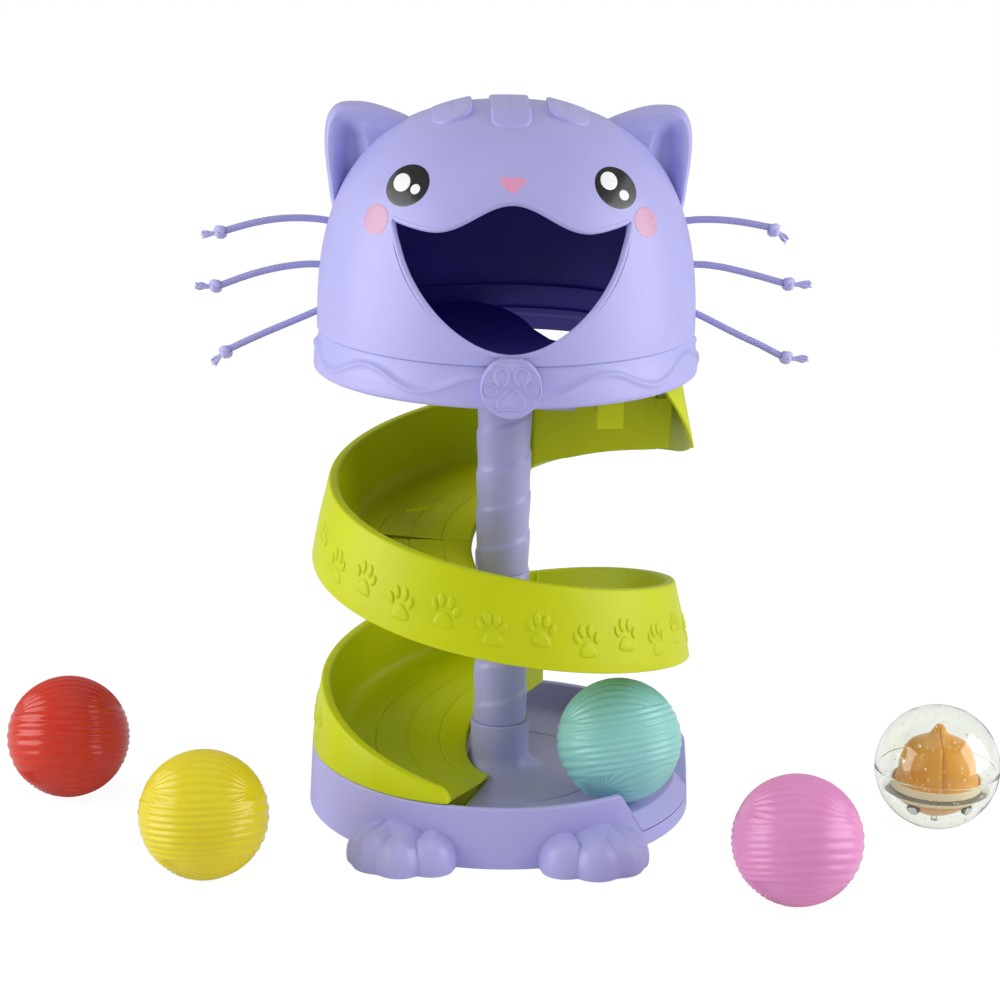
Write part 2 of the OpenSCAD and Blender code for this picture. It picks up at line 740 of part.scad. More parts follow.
whisker_right_top_path = [[-15.7, 57.5], [-14.7, 57.5], [-11.7, 57.9], [-10.1, 58], [-0.7, 59.3],
    [8.3, 59.5], [17.3, 59.1], [27.3, 57.9], [38.3, 55.9], [39.8, 55.5], [44.9, 52.9], [46.1, 52.1],
    [50.3, 48.1]];
whisker_right_middle_path = [[-10.7, 34], [-9.7, 34], [-6.9, 34.3], [-5.5, 34.3], [4.3, 34.5],
    [15.3, 33.1], [26.3, 30.7], [37.3, 27.9], [47.3, 25.1], [48.8, 24.7], [54.8, 23.9], [56.3, 23.9],
    [65.3, 24.1]];
whisker_right_bottom_path = [[-9.7, 11.4], [-8.7, 11.1], [-5.5, 10.1], [-3.9, 9.6], [5.3, 5.3],
    [15.3, 0.3], [26.3, -5.1], [37.3, -10.1], [47.8, -15.5], [49.3, -16.2], [55.3, -17.9],
    [56.8, -17.9], [64.8, -17.5]];
// Thickness of the cord along its line: inner knot, cord, outer knot, neck and frayed tail
cord_shares = [0.9, 1.7, 1.7, 1, 1, 1, 1, 1, 1, 1.85, 1.85, 0.9, 1.15];
cord_sides = 10;

function path_slope(path, i) =
    let (a = path[max(0, i - 1)], b = path[min(len(path) - 1, i + 1)], d = b - a) d / norm(d);

module whisker(path, side) {
    n = cord_sides;
    m = len(path);
    points = [for (i = [0 : m - 1]) for (j = [0 : n - 1])
        let (s = path_slope(path, i), r = cord_d / 2 * cord_shares[i], t = full_turn * j / n)
        [dome_r + path[i][0] - s[1] * r * cos(t), whisker_y + r * sin(t),
            seam_z + path[i][1] + s[0] * r * cos(t)]];
    sides = [for (i = [0 : m - 2]) for (j = [0 : n - 1])
        let (k = (j + 1) % n, a = i * n + j, b = i * n + k)
        each [[a, a + n, b + n], [a, b + n, b]]];
    ends = [[for (j = [0 : n - 1]) j], [for (j = [n - 1 : -1 : 0]) (m - 1) * n + j]];
    color([0.56, 0.57, 0.85]) head_frame() mirror([side < 0 ? 1 : 0, 0, 0])
        polyhedron(points, concat(sides, ends), convexity = 6);
}

module whisker_hole(path, side) {
    slope = atan2(path[4][1] - path[3][1], path[4][0] - path[3][0]);
    mirror([side < 0 ? 1 : 0, 0, 0]) translate([dome_r + path[3][0], whisker_y, seam_z + path[3][1]])
        rotate([0, quarter - slope, 0]) translate([0, 0, -2 * cord_d])
        cylinder(d = cord_d + 2 * cord_clear, h = 5 * cord_d, $fn = hole_facets);
}

module whisker_holes() {
    for (path = [whisker_left_top_path, whisker_left_middle_path, whisker_left_bottom_path])
        whisker_hole(path, -1);
    for (path = [whisker_right_top_path, whisker_right_middle_path, whisker_right_bottom_path])
        whisker_hole(path, 1);
}

module head_dome() {
    color(lavender) head_frame() difference() {
        union() {
            dome_solid(0);
            brow_stripes();
        }
        rotate_extrude() polygon(concat([[0, seam_z - over], [dome_r - dome_wall, seam_z - over]],
            [for (p = dome_outline(dome_r - dome_wall, dome_h - dome_wall)) [max(0, p[0]), p[1]]]));
        translate([0, 0, seam_z]) on_face(front_reach) mouth_outline();
        whisker_holes();
    }
}

// Ear outline as shares of its reach and height, from its outer foot round the tip to its inner foot
ear_outline_shares = [[0.9, 0.46], [0.97, 0.53], [0.985, 0.66], [1, 0.8], [0.997, 0.9], [0.975, 0.955],
    [0.93, 0.99], [0.86, 1], [0.77, 0.996], [0.67, 0.975], [0.545, 0.935], [0.45, 0.88], [0.6, 0.6]];
ear_hollow_shares = [[0.88, 0.5], [0.91, 0.62], [0.925, 0.76], [0.925, 0.86], [0.9, 0.92], [0.855, 0.94],
    [0.77, 0.935], [0.66, 0.91], [0.56, 0.87], [0.6, 0.6]];
ear_front = 2;
ear_reach = dome_r - ear_inset;
ear_top_z = dome_h - ear_drop;

module ear(side) {
    color(lavender) head_frame() mirror([side < 0 ? 1 : 0, 0, 0]) difference() {
        translate([0, ear_t - ear_front, seam_z]) on_face(ear_t)
            polygon([for (p = ear_outline_shares) [ear_reach * p[0], ear_top_z * p[1]]]);
        translate([0, ear_hollow - ear_front, seam_z]) on_face(ear_hollow + over)
            polygon([for (p = ear_hollow_shares) [ear_reach * p[0], ear_top_z * p[1]]]);
        dome_solid(0);
    }
}

module ear_left() {
    ear(-1);
}

module ear_right() {
    ear(1);
}

// Face prints follow the dome as thin films cut to their outline
oval_steps = 32;

module ellipse(length, width) {
    polygon([for (i = [0 : oval_steps - 1]) let (t = full_turn * i / oval_steps)
        [length / 2 * cos(t), width / 2 * sin(t)]]);
}

module film(level) {
    intersection() {
        difference() {
            dome_solid((level + 1) * print_t);
            dome_solid(level * print_t);
        }
        translate([0, 0, seam_z]) on_face(front_reach) children();
    }
}

eye_tilt = 36;
glint_tilt = 40;
// Highlights of the left and right eye: place, length and width as shares of the eye
glints_left = [[-0.132, 0.055, 0.4, 0.45], [0.155, -0.04, 0.22, 0.25]];
glints_right = [[-0.165, 0.145, 0.4, 0.45], [0.175, -0.14, 0.22, 0.25]];

module eye_glints(side) {
    translate([side * eye_x, eye_z]) for (g = side < 0 ? glints_left : glints_right)
        translate([eye_l * g[0], eye_l * g[1]]) rotate(-side * glint_tilt)
            ellipse(eye_l * g[2], eye_w * g[3]);
}

module eyes_dark() {
    color([0.08, 0.08, 0.09]) head_frame() film(0) difference() {
        for (side = [-1, 1]) translate([side * eye_x, eye_z]) rotate(-side * eye_tilt) ellipse(eye_l, eye_w);
        for (side = [-1, 1]) eye_glints(side);
    }
}

module eyes_light() {
    color("white") head_frame() film(0) for (side = [-1, 1]) eye_glints(side);
}

nose_outline_shares = [[-0.5, 0.1], [-0.5, 0.24], [-0.4, 0.28], [0.4, 0.28], [0.5, 0.24], [0.5, 0.1],
    [0.16, -0.24], [0.08, -0.3], [-0.08, -0.3], [-0.16, -0.24]];

module nose_print() {
    color([0.898, 0.604, 0.749]) head_frame() film(0)
        translate([0, nose_z]) polygon([for (p = nose_outline_shares) nose_w * p]);
}

cheek_x = 70.2;
cheek_z = 68.8;
cheek_tilt = 61;

module cheek_prints() {
    color([0.875, 0.663, 0.796]) head_frame() film(0)
        for (side = [-1, 1]) translate([side * cheek_x, cheek_z]) rotate(-side * cheek_tilt)
            ellipse(cheek_l, cheek_w);
}

medal_share = 0.56;
medal_z = collar_z + collar_h * medal_share;
medal_peg_len = 8;

module medal_peg(clear) {
    translate([0, -dome_r + medal_peg_len, medal_z - medal_r / 2]) rotate([90, 0, 0])
        cylinder(d = medal_peg_d + 2 * clear, h = medal_peg_len + collar_bulge);
}

module paw_medallion() {
    color(lavender) head_frame() union() {
        difference() {
            translate([0, 0, medal_z]) rotate([90, 0, 0]) cylinder(r = medal_r, h = collar_out_r + medal_out);
            head_envelope();
            translate([0, -dome_r + over + medal_r, medal_z]) rotate([90, 0, 0])
                translate([0, 0, -dome_r]) cylinder(r = 2 * medal_r, h = dome_r);
            translate([0, 0, collar_z - 2 * medal_r]) cylinder(r = dome_r, h = 2 * medal_r);
        }
        medal_peg(0);
    }
}

module yarn_ball(place, tint) {
    color(tint) translate([place[0], place[1], place[2] + ball_d / 2]) difference() {
        sphere(d = ball_d);
        sphere(d = ball_d - 2 * ball_wall);
    }
}

ball_back_y = -9;
ball_front_y = -122;
pink_y = -144;
clear_y = -35;
exit_ball_reach = 83;
exit_ball_angle = -37;

module ball_red() {
    yarn_ball([-ball_far, ball_back_y, 0], [0.808, 0.227, 0.133]);
}

module ball_yellow() {
    yarn_ball([-ball_near, ball_front_y, 0], [0.91, 0.827, 0.227]);
}

module ball_pink() {
    yarn_ball([ball_near, pink_y, 0], [0.89, 0.58, 0.792]);
}

module ball_teal() {
    yarn_ball([exit_ball_reach * cos(exit_ball_angle), exit_ball_reach * sin(exit_ball_angle), tray_z + seat],
        [0.573, 0.831, 0.824]);
}

clear_center = [ball_far, clear_y, ball_d / 2];
fish_reach = ball_d / 2 - clear_wall;
fish_r = fish_reach - fish_room;
fish_tip = fish_reach - fish_tip_room;
fish_drop = 0.186 * ball_d;
band_low = 0.214 * ball_d;

module clear_half(up) {
    color([0.9, 0.92, 0.9, 0.35]) difference() {
        intersection() {
            sphere(d = ball_d);
            translate([-ball_d, -ball_d, up ? 0 : -ball_d]) cube([2 * ball_d, 2 * ball_d, ball_d]);
        }
        sphere(d = ball_d - 2 * clear_wall);
    }
}

fish_belly = 0.221 * ball_d;
fish_stem_r = 0.057 * ball_d;

module clear_ball_top() {
    translate(clear_center) clear_half(true);
}

module clear_ball_bottom() {
    translate(clear_center) {
        clear_half(false);
        color([0.9, 0.92, 0.9, 0.35]) intersection() {
            sphere(d = ball_d - clear_wall);
            translate([0, 0, -ball_d / 2]) cylinder(r = fish_stem_r, h = ball_d / 2 - fish_drop - fish_belly);
        }
    }
}

// The band closes round the fish; its flange reaches the clear wall and holds the fish up
module fish_band() {
    inner = fish_r + spigot_clear;
    low = (band_h - band_t) / 2;
    high = (band_h + band_t) / 2;
    reach = sqrt(pow(fish_reach, 2) - pow(band_low - low, 2)) - spigot_clear;
    color([0.95, 0.87, 0.72]) translate(clear_center - [0, 0, band_low]) rotate_extrude()
        polygon([[inner, 0], [inner + band_t, 0], [inner + band_t, low], [reach, low],
            [reach, high], [inner + band_t, high], [inner + band_t, band_h], [inner, band_h]]);
}

// The fish from the middle of its belly up to its tip, and from there down to its foot
fish_top_shares = [[1, 0], [0.99, 0.14], [0.95, 0.26], [0.86, 0.4], [0.72, 0.53], [0.52, 0.66],
    [0.33, 0.78], [0.19, 0.88], [0.11, 0.95], [0, 1]];
fish_low_shares = [[0, -1], [0.42, -0.97], [0.68, -0.86], [0.86, -0.62], [0.96, -0.32]];

module fish_solid() {
    rise = fish_tip + fish_drop;
    translate([0, 0, -fish_drop]) rotate_extrude() polygon(concat(
        [for (p = fish_low_shares) [fish_r * p[0], fish_belly * p[1]]],
        [for (p = fish_top_shares) [fish_r * p[0], rise * p[1]]]
    ));
}

module fish_body() {
    color([0.91, 0.647, 0.173]) translate(clear_center) fish_solid();
}

fish_eye_r = 0.043 * ball_d;
fish_eye_turn = 41;
fish_eye_drop = 0.264 * ball_d;
fish_eye_share = 0.94;

module fish_eyes() {
    color([0.2, 0.2, 0.25]) translate(clear_center) difference() {
        for (side = [-1, 1]) rotate([0, 0, side * fish_eye_turn - 90])
            translate([fish_r * fish_eye_share, 0, -fish_eye_drop]) sphere(fish_eye_r);
        fish_solid();
    }
}

base_tray();
base_screw();
lower_post();
upper_post();
post_flange_screws();
ramp_start();
ramp_upper();
ramp_middle();
ramp_lower();
ramp_bracket_upper();
ramp_bracket_lower();
ramp_screws();
ramp_hanger();
hanger_screw();
guide_tab();
collar();
head_floor();
head_dome();
ear_left();
ear_right();
eyes_dark();
eyes_light();
nose_print();
cheek_prints();
paw_medallion();
whisker(whisker_left_top_path, -1);  // whisker_left_top
whisker(whisker_left_middle_path, -1);  // whisker_left_middle
whisker(whisker_left_bottom_path, -1);  // whisker_left_bottom
whisker(whisker_right_top_path, 1);  // whisker_right_top
whisker(whisker_right_middle_path, 1);  // whisker_right_middle
whisker(whisker_right_bottom_path, 1);  // whisker_right_bottom
ball_red();
ball_yellow();
ball_teal();
ball_pink();
clear_ball_top();
clear_ball_bottom();
fish_body();
fish_band();
fish_eyes();
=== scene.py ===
"""Ball drop tower for a pet: cat head, post, two-turn spiral ramp, tray base and five play balls.

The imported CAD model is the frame. Every piece here is a finer, dressed copy of one of its nodes,
or keeps the node and gives it a finish. Sizes are in millimetres, Blender's units are metres.
"""

import logging
import math
from dataclasses import dataclass, field
from enum import Enum
from typing import Callable, Sequence

import bmesh
import bpy
import numpy as np
from mathutils import Matrix, Vector


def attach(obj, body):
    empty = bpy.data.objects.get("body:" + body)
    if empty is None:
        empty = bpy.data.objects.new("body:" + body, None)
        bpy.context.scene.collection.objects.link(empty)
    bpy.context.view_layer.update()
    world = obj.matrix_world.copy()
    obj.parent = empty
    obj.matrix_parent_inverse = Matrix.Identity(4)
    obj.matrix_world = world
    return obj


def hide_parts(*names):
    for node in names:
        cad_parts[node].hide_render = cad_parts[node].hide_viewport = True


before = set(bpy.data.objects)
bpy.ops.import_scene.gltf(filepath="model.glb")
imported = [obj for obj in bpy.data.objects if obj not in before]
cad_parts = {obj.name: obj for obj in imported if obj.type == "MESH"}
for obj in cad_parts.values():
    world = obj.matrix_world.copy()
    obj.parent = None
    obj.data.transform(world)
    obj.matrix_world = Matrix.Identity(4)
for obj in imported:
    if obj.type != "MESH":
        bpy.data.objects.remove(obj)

MM = 0.001
LOG = logging.getLogger("ball_tower")
Points = np.ndarray
Mesh = tuple[Points, list[list[int]]]


# ---------------------------------------------------------------------------------------------
# Small geometry tools
# ---------------------------------------------------------------------------------------------

def clamp01(value: float) -> float:
    """Keeps a number between nought and one."""
    return min(1.0, max(0.0, value))


def smooth(value: float | Points) -> float | Points:
    """Soft step from nought to one.

    Args:
        value: share of the way through the step, a number or an array.

    Returns:
        The eased share.
    """
    share = np.clip(value, 0.0, 1.0)
    return share * share * (3.0 - 2.0 * share)


def soft_min(first: float, second: float, blend: float) -> float:
    """Smaller of two numbers with the corner between them rounded.

    Args:
        first: one number.
        second: the other number.
        blend: distance over which the corner is rounded.

    Returns:
        The rounded minimum.
    """
    share = clamp01(0.5 + 0.5 * (second - first) / blend)
    return second * (1 - share) + first * share - blend * share * (1 - share) * 0.5


def unit(vector: Points) -> Points:
    """Vector of length one that points the same way."""
    return vector / np.linalg.norm(vector)


def run_along(line: Points) -> Points:
    """Length of a line up to each of its points."""
    return np.concatenate([[0], np.cumsum(np.linalg.norm(np.diff(line, axis=0), axis=1))])


def rounded_path(corners: Sequence[tuple[float, float, float]], steps: int = 4,
                 closed: bool = True) -> Points:
    """Path through corners, each filleted with a true arc of its radius.

    Args:
        corners: x, y and fillet radius of each corner.
        steps: parts of each arc; a corner always gives steps + 1 points unless its radius is 0.
        closed: whether the last corner joins the first.

    Returns:
        The points of the path, one row each.
    """
    count = len(corners)
    path: list[Points] = []
    for i, (x, y, radius) in enumerate(corners):
        here = np.array([x, y], float)
        if radius <= 0 or (not closed and i in (0, count - 1)):
            path.append(here)
            continue
        back = np.array(corners[i - 1][:2], float) - here
        ahead = np.array(corners[(i + 1) % count][:2], float) - here
        back_len, ahead_len = max(float(np.hypot(*back)), 1e-6), max(float(np.hypot(*ahead)), 1e-6)
        back, ahead = back / back_len, ahead / ahead_len
        half = max(0.05, math.acos(max(-1.0, min(1.0, float(back @ ahead)))) / 2)
        cut = min(radius / math.tan(half), 0.46 * min(back_len, ahead_len))
        weight = math.sin(half)
        for t in np.linspace(0, 1, steps + 1):
            a, b, c = (1 - t) ** 2, 2 * weight * t * (1 - t), t * t
            path.append((a * (here + back * cut) + b * here + c * (here + ahead * cut)) / (a + b + c))
    return np.array(path)


def inset_loop(loop: Points, depth: float) -> Points:
    """Closed outline moved inwards along its own normals.

    Args:
        loop: the outline's points in order.
        depth: how far to move in.

    Returns:
        The moved outline.
    """
    along = np.roll(loop, -1, 0) - np.roll(loop, 1, 0)
    along /= np.maximum(np.linalg.norm(along, axis=1, keepdims=True), 1e-9)
    x, y = loop[:, 0], loop[:, 1]
    turn = np.sign(np.sum(x * np.roll(y, -1) - y * np.roll(x, -1)))
    return loop + turn * depth * np.stack([-along[:, 1], along[:, 0]], 1)


def grid_faces(rows: int, cols: int, close_rows: bool = False, close_cols: bool = False) -> list[list[int]]:
    """Quads between neighbours of points stored row by row.

    Args:
        rows: number of rows.
        cols: points in a row.
        close_rows: whether the last row joins the first.
        close_cols: whether a row's last point joins its first.

    Returns:
        The corner numbers of each quad.
    """
    row = np.arange(rows if close_rows else rows - 1)[:, None]
    col = np.arange(cols if close_cols else cols - 1)[None, :]
    after, beside = (row + 1) % rows, (col + 1) % cols
    return np.stack([row * cols + col, row * cols + beside, after * cols + beside, after * cols + col],
                    -1).reshape(-1, 4).tolist()


def end_caps(rows: int, cols: int) -> list[list[int]]:
    """Flat faces over the first and the last of rows of points."""
    return [list(range(cols))[::-1], [(rows - 1) * cols + i for i in range(cols)]]


def sweep(rings: Sequence[Points]) -> Mesh:
    """Closed skin through rings of points, with a flat cap on both ends.

    Args:
        rings: outlines in space, all with the same number of points.

    Returns:
        The points and the faces.
    """
    rows, cols = len(rings), len(rings[0])
    return np.concatenate(rings), grid_faces(rows, cols, close_cols=True) + end_caps(rows, cols)


def turned(section: Points, angle: float) -> Points:
    """Places a section of radius and height at an angle round the post.

    Args:
        section: radius and height of each point.
        angle: degrees from the right-hand side, growing to the left as seen from above.

    Returns:
        The points in space.
    """
    a = math.radians(angle)
    return np.stack([section[:, 0] * math.cos(a), section[:, 0] * math.sin(a), section[:, 1]], 1)


def lathe(profiles: Callable[[float], Points], steps: int, closed: bool) -> Mesh:
    """Body turned round the Z axis, whose section may change with the angle.

    Args:
        profiles: gives the section at an angle in degrees.
        steps: parts of the full turn.
        closed: whether a section's last point joins its first.

    Returns:
        The points and the faces.
    """
    rings = [turned(profiles(360.0 * i / steps), 360.0 * i / steps) for i in range(steps)]
    return np.concatenate(rings), grid_faces(steps, len(rings[0]), close_rows=True, close_cols=closed)


def smooth_line(anchors: Sequence[Sequence[float]], step: float) -> Points:
    """Even points along a smooth curve through anchors.

    Args:
        anchors: points that the curve passes through.
        step: distance between the even points.

    Returns:
        The points.
    """
    a = np.array(anchors, float)
    a = np.concatenate([[2 * a[0] - a[1]], a, [2 * a[-1] - a[-2]]])
    fine: list[Points] = []
    for i in range(1, len(a) - 2):
        for t in np.linspace(0, 1, 24, endpoint=False):
            fine.append(0.5 * (2 * a[i] + (a[i + 1] - a[i - 1]) * t
                               + (2 * a[i - 1] - 5 * a[i] + 4 * a[i + 1] - a[i + 2]) * t ** 2
                               + (3 * a[i] - a[i - 1] - 3 * a[i + 1] + a[i + 2]) * t ** 3))
    fine.append(a[-2])
    line = np.array(fine)
    run = run_along(line)
    even = np.linspace(0, run[-1], max(2, int(round(run[-1] / step)) + 1))
    return np.stack([np.interp(even, run, line[:, k]) for k in range(line.shape[1])], 1)


def tube(line: Points, radius: Callable[[Points, Points], float | Points], sides: int,
         closed: bool = False) -> Mesh:
    """Tube along a line whose radius may change along it and round it.

    Args:
        line: middle line in space.
        radius: gives the radius from the length so far and the angle round the tube, as arrays or one number.
        sides: points round the tube.
        closed: whether the line is a loop.

    Returns:
        The points and the faces.
    """
    if closed:
        along = np.roll(line, -1, 0) - np.roll(line, 1, 0)
    else:
        along = np.gradient(line, axis=0)
    along /= np.linalg.norm(along, axis=1, keepdims=True)
    side = np.zeros_like(line)
    start = np.cross(along[0], [0.0, 1.0, 0.0])
    if np.linalg.norm(start) < 0.1:
        start = np.cross(along[0], [1.0, 0.0, 0.0])
    side[0] = unit(start)
    for i in range(1, len(line)):
        side[i] = unit(side[i - 1] - (side[i - 1] @ along[i]) * along[i])
    across = np.cross(along, side)
    run = run_along(line)
    angle = np.linspace(0, 2 * math.pi, sides, endpoint=False)
    reach = radius(run[:, None], angle[None, :]) * np.ones((len(line), sides))
    points = (line[:, None] + reach[..., None] * (np.cos(angle)[None, :, None] * side[:, None]
                                                  + np.sin(angle)[None, :, None] * across[:, None])).reshape(-1, 3)
    faces = grid_faces(len(line), sides, close_rows=closed, close_cols=True)
    if not closed:
        faces += end_caps(len(line), sides)
    return points, faces


def joined(parts: Sequence[Mesh]) -> Mesh:
    """Several meshes as one.

    Args:
        parts: points and faces of each mesh.

    Returns:
        The points and faces of them all.
    """
    faces: list[list[int]] = []
    start = 0
    for points, own in parts:
        faces += [[i + start for i in face] for face in own]
        start += len(points)
    return np.concatenate([points for points, _ in parts]), faces


def spun(points: Points, angle: float) -> Points:
    """Points turned about the Z axis by an angle in degrees."""
    a = math.radians(angle)
    return points @ np.array([[math.cos(a), math.sin(a), 0], [-math.sin(a), math.cos(a), 0], [0, 0, 1]])


# ---------------------------------------------------------------------------------------------
# Finishes
# ---------------------------------------------------------------------------------------------

def linear(code: str) -> tuple[float, float, float, float]:
    """Turns an sRGB hex colour into linear light.

    Args:
        code: six hex digits after a hash sign.

    Returns:
        Red, green, blue and alpha.
    """
    parts = [int(code[i:i + 2], 16) / 255 for i in (1, 3, 5)]
    light = [c / 12.92 if c <= 0.04045 else ((c + 0.055) / 1.055) ** 2.4 for c in parts]
    return light[0], light[1], light[2], 1.0


def per_metre(size_mm: float) -> float:
    """Scale of a pattern whose blotches have a real size in millimetres."""
    return 1.0 / (size_mm * MM)


def add_node(tree: bpy.types.NodeTree, kind: str, sockets: dict | None = None, **settings) -> bpy.types.Node:
    """Adds a node, sets it and links it.

    Args:
        tree: the material's node tree.
        kind: the node's type name.
        sockets: for each input, by name or number, a value, a socket, or a node whose first output is meant.
        settings: the node's own settings.

    Returns:
        The node.
    """
    node = tree.nodes.new(kind)
    for key, value in settings.items():
        setattr(node, key, value)
    for key, value in (sockets or {}).items():
        if isinstance(value, bpy.types.Node):
            value = next(socket for socket in value.outputs if socket.enabled)
        if isinstance(value, bpy.types.NodeSocket):
            tree.links.new(value, node.inputs[key])
        else:
            node.inputs[key].default_value = value
    return node


def blank_material(name: str) -> tuple[bpy.types.Material, bpy.types.NodeTree]:
    """New material with nothing in it.

    Args:
        name: the material's name.

    Returns:
        The material and its node tree.
    """
    material = bpy.data.materials.new(name)
    material.use_nodes = True
    material.node_tree.nodes.clear()
    return material, material.node_tree


MIDDLE = {"From Min": 0.3, "From Max": 0.7}  # holds nearly all the values of an even noise


@dataclass(frozen=True)
class MouldedPlastic:
    """Injection-moulded polypropylene or ABS.

    The eye sees an even colour with very slight clouds from the masterbatch, a satin gloss that
    varies a little, the fine grain of the tool, and soft light along every moulded edge.
    """

    name: str
    colour: str
    cloud: str
    roughness: float = 0.36
    gloss_change: float = 0.04
    ior: float = 1.49
    cloud_mm: float = 38.0
    gloss_mm: float = 9.0
    grain_mm: float = 1.1  # real tool grain is near 0.1 mm; drawn coarser so that it shows
    grain_depth_mm: float = 0.012
    edge_mm: float = 0.7
    shine: float = 0.5

    def build(self) -> bpy.types.Material:
        """Makes the material and returns it."""
        material, tree = blank_material(self.name)
        place = {"Vector": add_node(tree, "ShaderNodeTexCoord").outputs["Object"]}
        batch = add_node(tree, "ShaderNodeTexNoise",
                         {**place, "Scale": per_metre(self.cloud_mm), "Detail": 3.0})
        share = add_node(tree, "ShaderNodeMapRange", {"Value": batch, **MIDDLE})
        tint = add_node(tree, "ShaderNodeMix", {
            "Factor": share, "A": linear(self.colour), "B": linear(self.cloud)}, data_type="RGBA")
        wear = add_node(tree, "ShaderNodeTexNoise", {**place, "Scale": per_metre(self.gloss_mm)})
        gloss = add_node(tree, "ShaderNodeMapRange", {
            "Value": wear, **MIDDLE, "To Min": self.roughness - self.gloss_change,
            "To Max": self.roughness + self.gloss_change})
        grain = add_node(tree, "ShaderNodeTexNoise",
                         {**place, "Scale": per_metre(self.grain_mm), "Detail": 1.0})
        edge = add_node(tree, "ShaderNodeBevel", {"Radius": self.edge_mm * MM}, samples=4)
        bump = add_node(tree, "ShaderNodeBump", {
            "Height": grain, "Distance": self.grain_depth_mm * MM, "Strength": 0.6, "Normal": edge})
        shader = add_node(tree, "ShaderNodeBsdfPrincipled", {
            "Base Color": tint, "Roughness": gloss, "IOR": self.ior, "Specular IOR Level": self.shine,
            "Normal": bump})
        add_node(tree, "ShaderNodeOutputMaterial", {"Surface": shader})
        return material


@dataclass(frozen=True)
class ClearPlastic:
    """Injection-moulded clear polystyrene.

    The eye sees a colourless shell with bright rims, faint flow marks and a few glitter specks.
    """

    name: str
    colour: str
    fleck: str = "#F6F2E2"
    roughness: float = 0.03
    shine: float = 0.3
    ior: float = 1.49
    flow_mm: float = 14.0
    flow_depth_mm: float = 0.25
    speck_mm: float = 7.0
    speck_share: float = 0.09

    def build(self) -> bpy.types.Material:
        """Makes the material and returns it."""
        material, tree = blank_material(self.name)
        place = {"Vector": add_node(tree, "ShaderNodeTexCoord").outputs["Object"]}
        flow = add_node(tree, "ShaderNodeTexNoise",
                        {**place, "Scale": per_metre(self.flow_mm), "Detail": 1.0})
        bump = add_node(tree, "ShaderNodeBump", {
            "Height": flow, "Distance": self.flow_depth_mm * MM, "Strength": 0.5})
        haze = add_node(tree, "ShaderNodeTexNoise", {**place, "Scale": per_metre(self.flow_mm / 3)})
        gloss = add_node(tree, "ShaderNodeMapRange", {
            "Value": haze, **MIDDLE, "To Min": self.roughness * 0.6, "To Max": self.roughness * 1.8})
        shell = add_node(tree, "ShaderNodeBsdfPrincipled", {
            "Base Color": linear(self.colour), "Roughness": gloss, "IOR": self.ior,
            "Transmission Weight": 1.0, "Specular IOR Level": self.shine, "Normal": bump})
        cells = add_node(tree, "ShaderNodeTexVoronoi", {**place, "Scale": per_metre(self.speck_mm)})
        speck = add_node(tree, "ShaderNodeMath", {0: cells, 1: self.speck_share}, operation="LESS_THAN")
        flake = add_node(tree, "ShaderNodeBsdfPrincipled", {
            "Base Color": linear(self.fleck), "Roughness": 0.25, "Metallic": 0.6})
        solid = add_node(tree, "ShaderNodeMixShader", {0: speck, 1: shell, 2: flake})
        ray = add_node(tree, "ShaderNodeLightPath").outputs
        passing = add_node(tree, "ShaderNodeMath", {0: ray["Is Shadow Ray"], 1: ray["Is Diffuse Ray"]},
                           operation="MAXIMUM")
        open_way = add_node(tree, "ShaderNodeBsdfTransparent", {"Color": linear(self.colour)})
        whole = add_node(tree, "ShaderNodeMixShader", {0: passing, 1: solid, 2: open_way})
        add_node(tree, "ShaderNodeOutputMaterial", {"Surface": whole})
        return material


@dataclass(frozen=True)
class GlitterPlastic:
    """Moulded polystyrene with glitter flakes in it.

    The eye sees a warm glossy colour sprinkled with small pale sparks at all angles.
    """

    name: str
    colour: str
    deep: str
    flake: str
    cloud_mm: float = 16.0
    flake_mm: float = 3.6
    roughness: float = 0.3
    flake_roughness: float = 0.12
    shine: float = 0.25
    ior: float = 1.52

    def build(self) -> bpy.types.Material:
        """Makes the material and returns it."""
        material, tree = blank_material(self.name)
        place = {"Vector": add_node(tree, "ShaderNodeTexCoord").outputs["Object"]}
        cells = add_node(tree, "ShaderNodeTexVoronoi", {**place, "Scale": per_metre(self.flake_mm)})
        spark = add_node(tree, "ShaderNodeMapRange", {
            "Value": cells, "From Min": 0.12, "From Max": 0.2, "To Min": 1.0, "To Max": 0.0})
        batch = add_node(tree, "ShaderNodeTexNoise", {**place, "Scale": per_metre(self.cloud_mm)})
        clouds = add_node(tree, "ShaderNodeMapRange", {"Value": batch, **MIDDLE})
        base = add_node(tree, "ShaderNodeMix", {
            "Factor": clouds, "A": linear(self.colour), "B": linear(self.deep)}, data_type="RGBA")
        flecked = add_node(tree, "ShaderNodeMix", {
            "Factor": spark, "A": base, "B": linear(self.flake)}, data_type="RGBA")
        gloss = add_node(tree, "ShaderNodeMapRange", {
            "Value": spark, "To Min": self.roughness, "To Max": self.flake_roughness})
        shader = add_node(tree, "ShaderNodeBsdfPrincipled", {
            "Base Color": flecked, "Roughness": gloss, "IOR": self.ior, "Specular IOR Level": self.shine})
        add_node(tree, "ShaderNodeOutputMaterial", {"Surface": shader})
        return material


